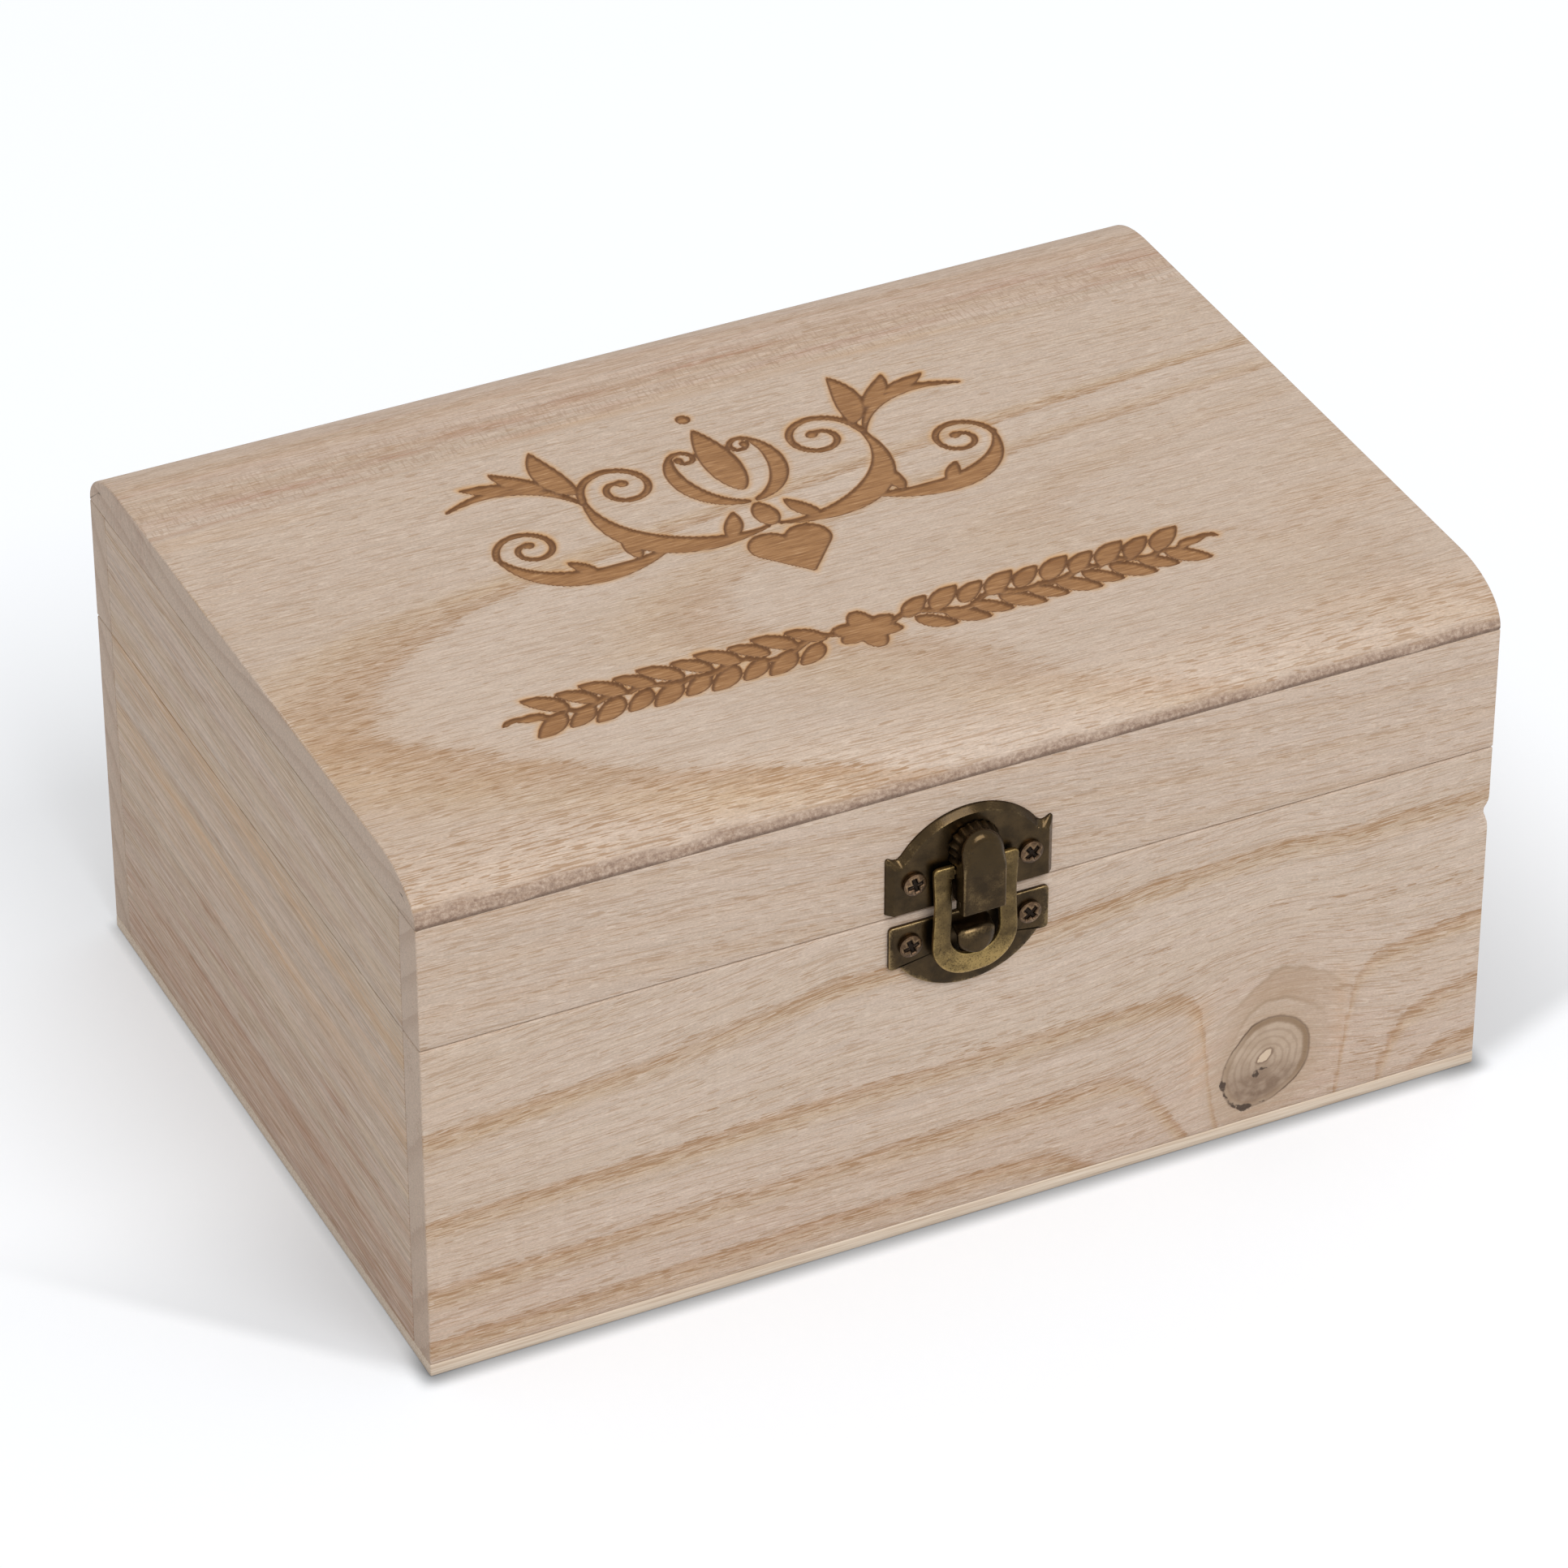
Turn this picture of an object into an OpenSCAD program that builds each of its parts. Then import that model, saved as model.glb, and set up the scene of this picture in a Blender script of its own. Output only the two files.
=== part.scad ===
// Hinged wooden keepsake box with a lever latch on the front and two butt hinges on the back.
// Origin at the middle of the underside, the front faces -Y, the top faces +Z.

/* [Box] */
// Width of the box along its front
body_width = 200; // [140:1:320]
// Depth of the box from front to back
body_depth = 142; // [100:1:240]
// Height of the base, from the underside to its rim
base_height = 67.4; // [55:0.2:140]
// Height of the lid's frame, from its rim to the top board
lid_frame_height = 24; // [22:0.5:60]
// Gap between the rims of base and lid
seam_gap = 0.2; // [0.1:0.05:0.4]

/* [Boards] */
// Thickness of the four boards of the base
base_board = 7; // [6.5:0.5:12]
// Thickness of the four boards of the lid's frame
lid_board = 7; // [6.5:0.5:12]
// Thickness of the bottom sheet
bottom_thickness = 2.4; // [1.6:0.2:6]
// Thickness of the top board
panel_thickness = 8.2; // [6:0.2:14]
// How far the rounding of the top board runs back from its front and back edges
edge_run = 14; // [6:0.5:24]

/* [Heart] */
// Width of the engraved heart
heart_width = 15.2; // [8:0.2:30]
// Height of the engraved heart
heart_height = 14.3; // [8:0.1:30]
// Radius of the two lobes of the heart
lobe_radius = 4.1; // [2.2:0.1:6]
// How far the heart sits forward of the middle of the top
heart_forward = 8.3; // [-20:0.1:20]
// How far the engraving sits to the right of the middle
engraving_shift = -1.8; // [-10:0.1:10]
// Depth of the engraving
engraving_depth = 0.4; // [0.2:0.1:1]

/* [Latch] */
// How far the latch sits to the right of the middle of the front
latch_shift = -0.8; // [-20:0.2:20]
// Thickness of the brass sheet
sheet = 0.8; // [0.6:0.05:0.9]
// Width of the upper plate
upper_width = 31; // [30:0.5:36]
// Height of the square part of the upper plate
upper_ear_height = 10.6; // [9.5:0.1:12]
// Height of the upper plate with its arch
upper_height = 17.6; // [17:0.1:19]
// Radius of the upper plate's arch
upper_radius = 15.4; // [14:0.1:18]
// How far the face of the upper plate stands off the wood
pan_height = 1.5; // [1.2:0.05:1.6]
// Run of the sloping rim of the upper plate
pan_bevel = 1.1; // [0.6:0.1:1.4]
// Gap between the seam and the upper plate
upper_above_seam = 1.3; // [0.6:0.1:2]
// Width of the hook plate
hook_plate_width = 29.8; // [28:0.2:36]
// Height of the square part of the hook plate
hook_ear_height = 8.6; // [7.5:0.1:10]
// Height of the hook plate with its arch
hook_plate_height = 14.9; // [14:0.1:18]
// Radius of the hook plate's arch
hook_plate_radius = 16; // [14:0.1:20]
// Gap between the seam and the hook plate
hook_below_seam = 1.7; // [1:0.1:2]

/* [Lever] */
// Width of the lever
lever_width = 8; // [7:0.1:8.2]
// Length of the lever
lever_length = 15.1; // [14:0.1:16]
// How far the face of the lever stands off the wood
lever_stand = 6.5; // [6.3:0.1:7.5]
// Wall of the lever
lever_wall = 0.7; // [0.5:0.05:0.8]
// Height of the lever's pivot above the lever's lower end
pivot_height = 1.55; // [1.4:0.05:1.6]
// How far the pivot lies behind the lever's face
pivot_depth = 1.8; // [1.75:0.05:2]
// Diameter of the lever's pin
lever_pin = 1.2; // [0.8:0.1:1.4]
// Radial clearance of the lever and the ring on their pivots
pivot_clearance = 0.05; // [0.02:0.01:0.09]
// How far the ridged rim of the lever flares past its sides
rim_flare = 0.5; // [0.3:0.1:0.8]

/* [Ring] */
// Width of the ring
ring_width = 15.8; // [15:0.1:16.4]
// Gap between the ring's arms and the lever's rim on each side
ring_clearance = 0.1; // [0.05:0.05:0.2]
// Height of the ring
ring_height = 22.6; // [22.4:0.1:23.6]
// Height of the band at the foot of the ring
ring_foot = 3.9; // [3:0.1:4]
// Thickness of the ring
ring_thickness = 1.1; // [0.8:0.05:1.2]
// How far the ring's back stands off the wood
ring_stand = 2.2; // [2.1:0.05:2.3]
// Height of the ring's pivots above the lever's pivot
ring_above_pivot = 5.4; // [5:0.1:5.6]
// Height of the ring above its pivots
ring_head = 1.3; // [1:0.05:1.4]

/* [Hook] */
// Width of the hook
hook_width = 6.9; // [5:0.1:7.4]
// How far the hook's front stands off the wood
hook_stand = 4.4; // [4.3:0.05:4.8]
// Gap between the tip of the hook and the foot of the ring
hook_over_ring = 0.75; // [0.6:0.05:1.2]
// Length of the hook's lip
hook_lip = 4.85; // [4.2:0.05:5]

/* [Screws] */
// Diameter of the latch screws' heads
head_diameter = 4.2; // [3:0.1:4.3]
// Height of the screw heads
head_height = 1.1; // [0.6:0.1:1.4]
// Diameter of the screw shanks
shank_diameter = 1.9; // [1.2:0.1:2.2]
// Length of the screw shanks below the head
shank_length = 6; // [4:0.1:6.2]
// Distance between the two screws of the upper plate
upper_screw_span = 21.6; // [21:0.1:23]
// Height of these screws above the lower edge of the upper plate
upper_screw_height = 5.8; // [3.5:0.1:7]
// Distance between the two screws of the hook plate
hook_screw_span = 22.2; // [21:0.1:23]
// Depth of these screws below the top edge of the hook plate
hook_screw_depth = 4.1; // [3:0.1:5.5]

/* [Hinges] */
// Distance of a hinge's middle from the nearer end of the box
hinge_inset = 40; // [14:1:60]
// Width of a hinge
hinge_width = 24; // [20:0.5:34]
// Height of one leaf, from the seam
leaf_height = 12; // [10:0.5:16]
// Thickness of a leaf
leaf_thickness = 0.9; // [0.6:0.05:1]
// Radius of a leaf's free corners
leaf_corner = 1.5; // [0.5:0.1:3]
// Diameter of the knuckles
knuckle_diameter = 3.4; // [3:0.1:4]
// Diameter of a hinge pin
hinge_pin = 1.6; // [1:0.1:2]
// Radial clearance of the lid's knuckle on the pin
hinge_clearance = 0.05; // [0.02:0.01:0.09]
// Gap between neighbouring knuckles
knuckle_gap = 0.1; // [0.05:0.05:0.3]
// Distance between the two screws of a leaf
leaf_screw_span = 15; // [13:0.5:16]
// Diameter of the hinge screws' heads
leaf_head_diameter = 3.4; // [2.6:0.1:3.6]

/* [Hidden] */
$fn = 64;

// Colours
wood = [0.80, 0.70, 0.60];
top_wood = [0.84, 0.74, 0.63];
pale_ply = [0.86, 0.78, 0.62];
bronze = [0.30, 0.26, 0.19];
worn_brass = [0.45, 0.37, 0.22];
copper_brown = [0.43, 0.34, 0.26];

// Faces and levels of the box
front_y = -body_depth / 2;
back_y = body_depth / 2;
lid_rim_z = base_height + seam_gap;
seam_z = base_height + seam_gap / 2;
panel_z = lid_rim_z + lid_frame_height;
top_z = panel_z + panel_thickness;

// Levels of the latch
upper_z = seam_z + upper_above_seam;
hook_top_z = seam_z - hook_below_seam;
upper_arch_z = upper_z + upper_height - upper_radius;
hook_arch_z = hook_top_z - hook_plate_height + hook_plate_radius;
lever_z = upper_z;
lever_top_z = lever_z + lever_length;
lever_dome_z = lever_top_z - lever_width / 2;
pivot_z = lever_z + pivot_height;
pivot_out = lever_stand - pivot_depth;
ring_pivot_z = pivot_z + ring_above_pivot;
ring_pivot_out = ring_stand + ring_thickness / 2;
ring_top_z = ring_pivot_z + ring_head;
ring_low_z = ring_top_z - ring_height;
hook_tip_z = ring_low_z + ring_foot + hook_over_ring;
hook_root_z = hook_tip_z + hook_lip;

// Fits inside the latch
side_clearance = 0.2;
pin_radius = lever_pin / 2;
pin_wall = 0.4;
lug_clearance = 0.1;
boss_radius = pivot_depth - lever_wall - lug_clearance;
lug_outer = lever_width / 2 - lever_wall - lug_clearance;
lug_root = pivot_out - norm([pivot_depth, pivot_height]) - lug_clearance;
lug_rise = 4.5;
lug_slope = 1;
rim_gap = 0.25;
lever_back_low = pivot_out - pin_radius - pin_wall;
lever_back_high = pan_height + rim_gap;
trunnion_radius = ring_thickness / 2;
tab_height = 2 * ring_head;
tab_inner = lever_width / 2 + side_clearance;
ring_inner = lever_width / 2 + rim_flare + ring_clearance;
rim_depth = 0.9;
rim_start_z = ring_top_z + 2 * side_clearance;
rim_turn = 240;
ridge_count = 13;
ridge_radius = 0.35;
ring_corner = 0.9;
ring_outer_corner = 6.5;
ring_inner_corner = 3.6;
plate_corner = 0.8;
window_share = 0.45;

// Screws and their recesses
crown_rise = 0.45;
recess_width = 0.55;
recess_length = 2.3;
recess_floor = 0.4;
tip_length = 1.2;
tip_radius = 0.15;
screw_hole_margin = 0.15;

// Hinges
knuckle_radius = knuckle_diameter / 2;
knuckle_clearance = 0.15;
hinge_out = knuckle_radius + knuckle_clearance;
leaf_start = knuckle_radius + 2 * knuckle_clearance;
knuckle_length = (hinge_width - 2 * knuckle_gap) / 3;
leaf_screw_up = (leaf_start + leaf_height) / 2;
pin_proud = 0.3;
hinge_span = body_width - 2 * hinge_inset;
hinge_sides = [-1, 1];

// A cut reaches this far past the face that it opens
past = 1;

// Frames: x to the right, y up and z out of the face of the box
module on_front(x = 0, z = 0) {
    translate([x, front_y, z]) rotate([90, 0, 0]) children();
}

module on_back(x = 0, z = 0) {
    translate([x, back_y, z]) rotate([90, 0, 180]) children();
}

// A profile drawn as (out, up), as wide as given along x
module across(width, x = 0) {
    translate([x, 0, 0]) rotate([0, -90, 0]) linear_extrude(height = width, center = true) children();
}

// A round bar along x
module bar(radius, length, x = 0) {
    translate([x, 0, 0]) rotate([0, 90, 0]) cylinder(h = length, r = radius, center = true);
}

// A rectangle with round corners, from its lower left corner
module round_rectangle(width, height, corner) {
    translate([corner, 0]) square([width - 2 * corner, height]);
    translate([0, corner]) square([width, height - 2 * corner]);
    for (x = [corner, width - corner], y = [corner, height - corner])
        translate([x, y]) circle(r = corner);
}

// Places of the screws, each as [x, z]
upper_screws = [for (side = [-1, 1]) [latch_shift + side * upper_screw_span / 2, upper_z + upper_screw_height]];
hook_screws = [for (side = [-1, 1]) [latch_shift + side * hook_screw_span / 2, hook_top_z - hook_screw_depth]];

function leaf_screws(up) = [
    for (hinge = hinge_sides, side = [-1, 1])
        [hinge * hinge_span / 2 + side * leaf_screw_span / 2, seam_z + up * leaf_screw_up]
];

// The pilot holes that a row of screws leaves in a board
module front_pilots(places) {
    for (place = places)
        on_front(place[0], place[1]) translate([0, 0, -shank_length]) cylinder(h = shank_length + past, d = shank_diameter);
}

module back_pilots(places) {
    for (place = places)
        on_back(place[0], place[1]) translate([0, 0, -shank_length]) cylinder(h = shank_length + past, d = shank_diameter);
}

// A pan head screw, with its shank going into the wood and its head on a plate
module screw(diameter, seat) {
    crown_radius = (diameter * diameter / 4 + crown_rise * crown_rise) / (2 * crown_rise);
    difference() {
        intersection() {
            translate([0, 0, seat]) cylinder(h = head_height, d = diameter);
            translate([0, 0, seat + head_height - crown_radius]) sphere(r = crown_radius);
        }
        for (turn = [0, 90])
            rotate([0, 0, turn])
                translate([-recess_length / 2, -recess_width / 2, seat + recess_floor])
                    cube([recess_length, recess_width, head_height]);
    }
    translate([0, 0, -shank_length + tip_length])
        cylinder(h = shank_length - tip_length + seat + recess_floor / 2, d = shank_diameter);
    translate([0, 0, -shank_length])
        cylinder(h = tip_length, r1 = tip_radius, r2 = shank_diameter / 2);
}

// Boards
module long_board(thickness, height, z, y) {
    translate([-body_width / 2, y, z]) cube([body_width, thickness, height]);
}

module short_board(thickness, height, z, x) {
    translate([x, front_y + thickness, z]) cube([thickness, body_depth - 2 * thickness, height]);
}

base_wall_height = base_height - bottom_thickness;

module base_front_board() {
    color(wood) difference() {
        long_board(base_board, base_wall_height, bottom_thickness, front_y);
        front_pilots(hook_screws);
    }
}

module base_back_board() {
    color(wood) difference() {
        long_board(base_board, base_wall_height, bottom_thickness, back_y - base_board);
        back_pilots(leaf_screws(-1));
    }
}

module base_left_board() {
    color(wood) short_board(base_board, base_wall_height, bottom_thickness, -body_width / 2);
}

module base_right_board() {
    color(wood) short_board(base_board, base_wall_height, bottom_thickness, body_width / 2 - base_board);
}

module base_bottom_sheet() {
    color(pale_ply) translate([-body_width / 2, front_y, 0]) cube([body_width, body_depth, bottom_thickness]);
}

module lid_front_board() {
    color(wood) difference() {
        long_board(lid_board, lid_frame_height, lid_rim_z, front_y);
        front_pilots(upper_screws);
    }
}

module lid_back_board() {
    color(wood) difference() {
        long_board(lid_board, lid_frame_height, lid_rim_z, back_y - lid_board);
        back_pilots(leaf_screws(1));
    }
}

module lid_left_board() {
    color(wood) short_board(lid_board, lid_frame_height, lid_rim_z, -body_width / 2);
}

module lid_right_board() {
    color(wood) short_board(lid_board, lid_frame_height, lid_rim_z, body_width / 2 - lid_board);
}

// The top board: flat above and below, with a quarter ellipse along its front and back edges
edge_steps = 20;

function edge_arc(side) = [
    for (step = [0:edge_steps])
        let (turn = 90 * step / edge_steps)
            [side * (body_depth / 2 - edge_run + edge_run * cos(turn)), panel_z + panel_thickness * sin(turn)]
];

function reversed(points) = [for (i = [len(points) - 1:-1:0]) points[i]];

module top_profile() {
    polygon(concat(edge_arc(1), reversed(edge_arc(-1))));
}

// A heart with its middle at the origin: a tip, the tangents from it and two lobes that meet in the notch
lobe_x = heart_width / 2 - lobe_radius;
lobe_y = heart_height / 2 - lobe_radius;
tip_reach = norm([lobe_x, lobe_y + heart_height / 2]);
lobe_start = atan2(lobe_y + heart_height / 2, lobe_x) - asin(lobe_radius / tip_reach) - 90;
lobe_end = acos(-min(1, lobe_x / lobe_radius));
lobe_steps = 24;

function lobe(side) = [
    for (step = [0:lobe_steps])
        let (turn = lobe_start + (lobe_end - lobe_start) * step / lobe_steps)
            [side * (lobe_x + lobe_radius * cos(turn)), lobe_y + lobe_radius * sin(turn)]
];

module heart() {
    left = lobe(-1);
    polygon(concat([[0, -heart_height / 2]], lobe(1), [for (step = [lobe_steps - 1:-1:0]) left[step]]));
}

module lid_top_board() {
    color(top_wood) difference() {
        rotate([90, 0, 90]) linear_extrude(height = body_width, center = true) top_profile();
        translate([engraving_shift, -heart_forward, top_z - engraving_depth])
            linear_extrude(height = engraving_depth + past) heart();
    }
}

// The pressed form of the upper plate, drawn in by inset all round and as high as given
module pan(inset, height) {
    half = upper_width / 2 - inset;
    low = upper_z + inset;
    ear_top = upper_z + upper_ear_height - inset;
    intersection() {
        translate([0, upper_arch_z, 0])
            cylinder(h = height, r1 = upper_radius - inset, r2 = upper_radius - inset - pan_bevel);
        translate([-upper_width, low, -past]) cube([2 * upper_width, upper_height, height + 2 * past]);
    }
    intersection() {
        translate([0, ear_top, 0]) rotate([90, 0, 0]) linear_extrude(height = ear_top - low)
            polygon([[-half, 0], [half, 0], [half - pan_bevel, height], [-half + pan_bevel, height]]);
        across(2 * upper_width)
            polygon([[0, low], [0, ear_top], [height, ear_top - pan_bevel], [height, low]]);
    }
}

// A lug of the upper plate, which holds the lever's pin and leaves the lever's foot its way round
module lug(side) {
    thickness = sheet;
    across(thickness, side * (lug_outer - thickness / 2)) {
        translate([pan_height - sheet, upper_z]) square([lug_root - pan_height + sheet, lug_rise]);
        polygon([[lug_root - sheet / 2, pivot_z + lug_clearance], [pivot_out, pivot_z + lug_clearance],
            [pivot_out, pivot_z + boss_radius], [lug_root - sheet / 2, pivot_z + boss_radius + lug_slope]]);
        translate([pivot_out, pivot_z]) circle(r = boss_radius);
    }
}

module latch_upper_plate() {
    color(bronze) on_front(latch_shift) difference() {
        union() {
            difference() {
                pan(0, pan_height);
                translate([0, 0, -past]) pan(sheet, pan_height - sheet + past);
            }
            for (side = [-1, 1]) lug(side);
        }
        translate([0, pivot_z, pivot_out]) bar(pin_radius, lever_width);
        for (place = upper_screws)
            translate([place[0] - latch_shift, place[1], -past])
                cylinder(h = pan_height + 2 * past, d = shank_diameter + 2 * screw_hole_margin);
    }
}

module latch_lever_pin() {
    color(bronze) on_front(latch_shift) translate([0, pivot_z, pivot_out]) bar(pin_radius, lever_width + side_clearance);
}

// The outline of the lever, drawn in by inset
module lever_outline(inset) {
    translate([-lever_width / 2 + inset, lever_z])
        square([lever_width - 2 * inset, lever_dome_z - lever_z]);
    translate([0, lever_dome_z]) circle(d = lever_width - 2 * inset);
}

// The flared rim round the dome of the lever, with its ridges
module lever_rim() {
    ring = lever_width / 2 + rim_flare;
    difference() {
        translate([0, 0, lever_back_high]) linear_extrude(height = rim_depth) lever_outline(-rim_flare);
        translate([-lever_width, lever_z - lever_width, 0])
            cube([2 * lever_width, rim_start_z - lever_z + lever_width, lever_stand]);
        for (i = [0:ridge_count - 1])
            let (turn = 90 + rim_turn * (i / (ridge_count - 1) - 0.5))
                translate([ring * cos(turn), max(rim_start_z, lever_dome_z + ring * sin(turn)), 0])
                    cylinder(h = lever_stand, r = ridge_radius, $fn = 24);
    }
}

module latch_lever() {
    bore = trunnion_radius + pivot_clearance;
    color(bronze) on_front(latch_shift) difference() {
        union() {
            translate([0, 0, lever_back_high])
                linear_extrude(height = lever_stand - lever_back_high) lever_outline(0);
            lever_rim();
        }
        translate([0, -past, 0]) linear_extrude(height = lever_stand - lever_wall) lever_outline(lever_wall);
        across(2 * lever_width)
            polygon([[0, lever_z - past], [lever_back_low, lever_z - past],
                [lever_back_low, ring_pivot_z - tab_height], [lever_back_high, ring_pivot_z - ring_head],
                [0, ring_pivot_z - ring_head]]);
        translate([0, pivot_z, pivot_out]) bar(pin_radius + pivot_clearance, 2 * lever_width);
        translate([0, ring_pivot_z, ring_pivot_out]) bar(bore, 2 * lever_width);
    }
}

// The flat ring, open at its head, where a round trunnion on each side enters the lever
module ring_outline() {
    outer = ring_width / 2;
    shoulder_z = ring_low_z + ring_outer_corner;
    inner_z = ring_low_z + ring_foot;
    tab_z = ring_top_z - tab_height;
    difference() {
        union() {
            translate([-outer, ring_low_z]) round_rectangle(ring_width, ring_height, ring_outer_corner);
            translate([-outer, shoulder_z]) round_rectangle(ring_width, ring_top_z - shoulder_z, ring_corner);
        }
        translate([-ring_inner, inner_z]) round_rectangle(2 * ring_inner, tab_z - inner_z, ring_inner_corner);
        translate([-ring_inner, inner_z + ring_inner_corner])
            square([2 * ring_inner, tab_z - inner_z - ring_inner_corner]);
        translate([-tab_inner, tab_z - past]) square([2 * tab_inner, tab_height + 2 * past]);
    }
}

module latch_ring() {
    trunnion_end = lever_width / 2 - lever_wall;
    trunnion = tab_inner + side_clearance - trunnion_end;
    color(worn_brass) on_front(latch_shift) {
        translate([0, 0, ring_stand]) linear_extrude(height = ring_thickness) ring_outline();
        for (side = [-1, 1])
            translate([0, ring_pivot_z, ring_pivot_out])
                bar(trunnion_radius, trunnion, side * (trunnion_end + trunnion / 2));
    }
}

// The flat hook plate with the tongue bent out of it
module hook_plate_outline() {
    half = hook_plate_width / 2;
    translate([-half, hook_top_z - hook_ear_height])
        round_rectangle(hook_plate_width, hook_ear_height, plate_corner);
    intersection() {
        translate([0, hook_arch_z]) circle(r = hook_plate_radius);
        translate([-half, hook_top_z - hook_plate_height - past])
            square([hook_plate_width, hook_plate_height - plate_corner + past]);
    }
}

module hook_tongue() {
    intersection() {
        across(hook_width) difference() {
            union() {
                translate([0, hook_tip_z]) square([hook_stand - sheet, hook_lip]);
                translate([0, hook_tip_z]) square([hook_stand, hook_lip - sheet]);
                translate([hook_stand - sheet, hook_root_z - sheet]) circle(r = sheet);
            }
            translate([-past, hook_tip_z - past])
                square([hook_stand - sheet + past, hook_lip - sheet + past]);
        }
        linear_extrude(height = hook_stand) {
            translate([0, hook_tip_z + hook_width / 2]) circle(d = hook_width);
            translate([-hook_width / 2, hook_tip_z + hook_width / 2]) square([hook_width, hook_lip]);
        }
    }
}

module latch_hook_plate() {
    window = hook_width * window_share;
    window_low = ring_low_z + ring_foot / 2;
    color(bronze) on_front(latch_shift) {
        difference() {
            linear_extrude(height = sheet) hook_plate_outline();
            translate([-window / 2, window_low, -past])
                cube([window, hook_root_z - sheet - window_low, sheet + 2 * past]);
            for (place = hook_screws)
                translate([place[0] - latch_shift, place[1], -past])
                    cylinder(h = sheet + 2 * past, d = shank_diameter + 2 * screw_hole_margin);
        }
        hook_tongue();
    }
}

module latch_upper_screws() {
    color(copper_brown)
        for (place = upper_screws) on_front(place[0], place[1]) screw(head_diameter, pan_height);
}

module latch_hook_screws() {
    color(copper_brown)
        for (place = hook_screws) on_front(place[0], place[1]) screw(head_diameter, sheet);
}

// Hinges: one leaf with its knuckles, the leaf pointing up for the lid and down for the base
module hinge_leaf(up, knuckles, bore) {
    module leaf_plate() {
        translate([-hinge_width / 2, leaf_start]) square([hinge_width, leaf_height - leaf_corner - leaf_start]);
        translate([-hinge_width / 2 + leaf_corner, leaf_start])
            square([hinge_width - 2 * leaf_corner, leaf_height - leaf_start]);
        for (side = [-1, 1])
            translate([side * (hinge_width / 2 - leaf_corner), leaf_height - leaf_corner]) circle(r = leaf_corner);
        for (x = knuckles)
            translate([x - knuckle_length / 2, knuckle_radius / 2]) square([knuckle_length, leaf_start]);
    }
    difference() {
        union() {
            mirror([0, up < 0 ? 1 : 0, 0]) linear_extrude(height = leaf_thickness) leaf_plate();
            for (x = knuckles) translate([0, 0, hinge_out]) bar(knuckle_radius, knuckle_length, x);
        }
        translate([0, 0, hinge_out]) bar(bore, 2 * hinge_width);
        for (side = [-1, 1])
            translate([side * leaf_screw_span / 2, up * leaf_screw_up, -past])
                cylinder(h = leaf_thickness + 2 * past, d = shank_diameter + 2 * screw_hole_margin);
    }
}

outer_knuckles = [for (side = [-1, 1]) side * (knuckle_length + knuckle_gap)];

module base_leaf(side) {
    color(bronze) on_back(side * hinge_span / 2, seam_z) hinge_leaf(-1, outer_knuckles, hinge_pin / 2);
}

module lid_leaf(side) {
    color(bronze) on_back(side * hinge_span / 2, seam_z) hinge_leaf(1, [0], hinge_pin / 2 + hinge_clearance);
}

module pin_of_hinge(side) {
    color(bronze) on_back(side * hinge_span / 2, seam_z)
        translate([0, 0, hinge_out]) bar(hinge_pin / 2, hinge_width + 2 * pin_proud);
}

module left_hinge_base_leaf() { base_leaf(-1); }
module left_hinge_lid_leaf() { lid_leaf(-1); }
module left_hinge_pin() { pin_of_hinge(-1); }
module right_hinge_base_leaf() { base_leaf(1); }
module right_hinge_lid_leaf() { lid_leaf(1); }
module right_hinge_pin() { pin_of_hinge(1); }

module leaf_screw_row(up) {
    color(copper_brown)
        for (place = leaf_screws(up))
            on_back(place[0], place[1]) screw(leaf_head_diameter, leaf_thickness);
}

module hinge_base_screws() { leaf_screw_row(-1); }
module hinge_lid_screws() { leaf_screw_row(1); }

base_front_board();
base_back_board();
base_left_board();
base_right_board();
base_bottom_sheet();
lid_front_board();
lid_back_board();
lid_left_board();
lid_right_board();
lid_top_board();
latch_upper_plate();
latch_lever();
latch_lever_pin();
latch_ring();
latch_hook_plate();
latch_upper_screws();
latch_hook_screws();
left_hinge_base_leaf();
left_hinge_lid_leaf();
left_hinge_pin();
right_hinge_base_leaf();
right_hinge_lid_leaf();
right_hinge_pin();
hinge_base_screws();
hinge_lid_screws();
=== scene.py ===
import bpy
import bmesh
import math
import numpy as np
from functools import partial
from mathutils import Euler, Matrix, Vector


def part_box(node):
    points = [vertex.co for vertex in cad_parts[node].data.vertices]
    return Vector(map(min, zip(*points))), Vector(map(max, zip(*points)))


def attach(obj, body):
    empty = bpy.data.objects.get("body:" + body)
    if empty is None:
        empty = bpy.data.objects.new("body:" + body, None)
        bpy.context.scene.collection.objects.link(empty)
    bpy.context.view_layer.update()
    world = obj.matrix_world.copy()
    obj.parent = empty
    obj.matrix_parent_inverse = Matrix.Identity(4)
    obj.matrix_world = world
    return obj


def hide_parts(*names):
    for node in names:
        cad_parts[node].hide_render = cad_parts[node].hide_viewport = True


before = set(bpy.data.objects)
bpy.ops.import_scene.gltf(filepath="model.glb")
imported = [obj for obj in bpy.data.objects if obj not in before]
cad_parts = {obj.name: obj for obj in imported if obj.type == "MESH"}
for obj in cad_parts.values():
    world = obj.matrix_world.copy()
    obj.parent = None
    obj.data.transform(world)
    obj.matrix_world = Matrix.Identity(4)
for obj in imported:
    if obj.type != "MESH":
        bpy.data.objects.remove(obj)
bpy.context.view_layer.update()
print("frame loaded")

mm = 0.001
halfWidth, halfDepth = 100.0, 71.0  # of the box's walls
bpy.context.scene.view_settings.view_transform = "Standard"


def linearColour(hexText):
    # sRGB hex to linear: c / 12.92 up to 0.04045, else ((c + 0.055) / 1.055) to the power 2.4
    parts = [int(hexText[i:i + 2], 16) / 255 for i in (1, 3, 5)]
    return [c / 12.92 if c <= 0.04045 else ((c + 0.055) / 1.055) ** 2.4 for c in parts] + [1.0]


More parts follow.
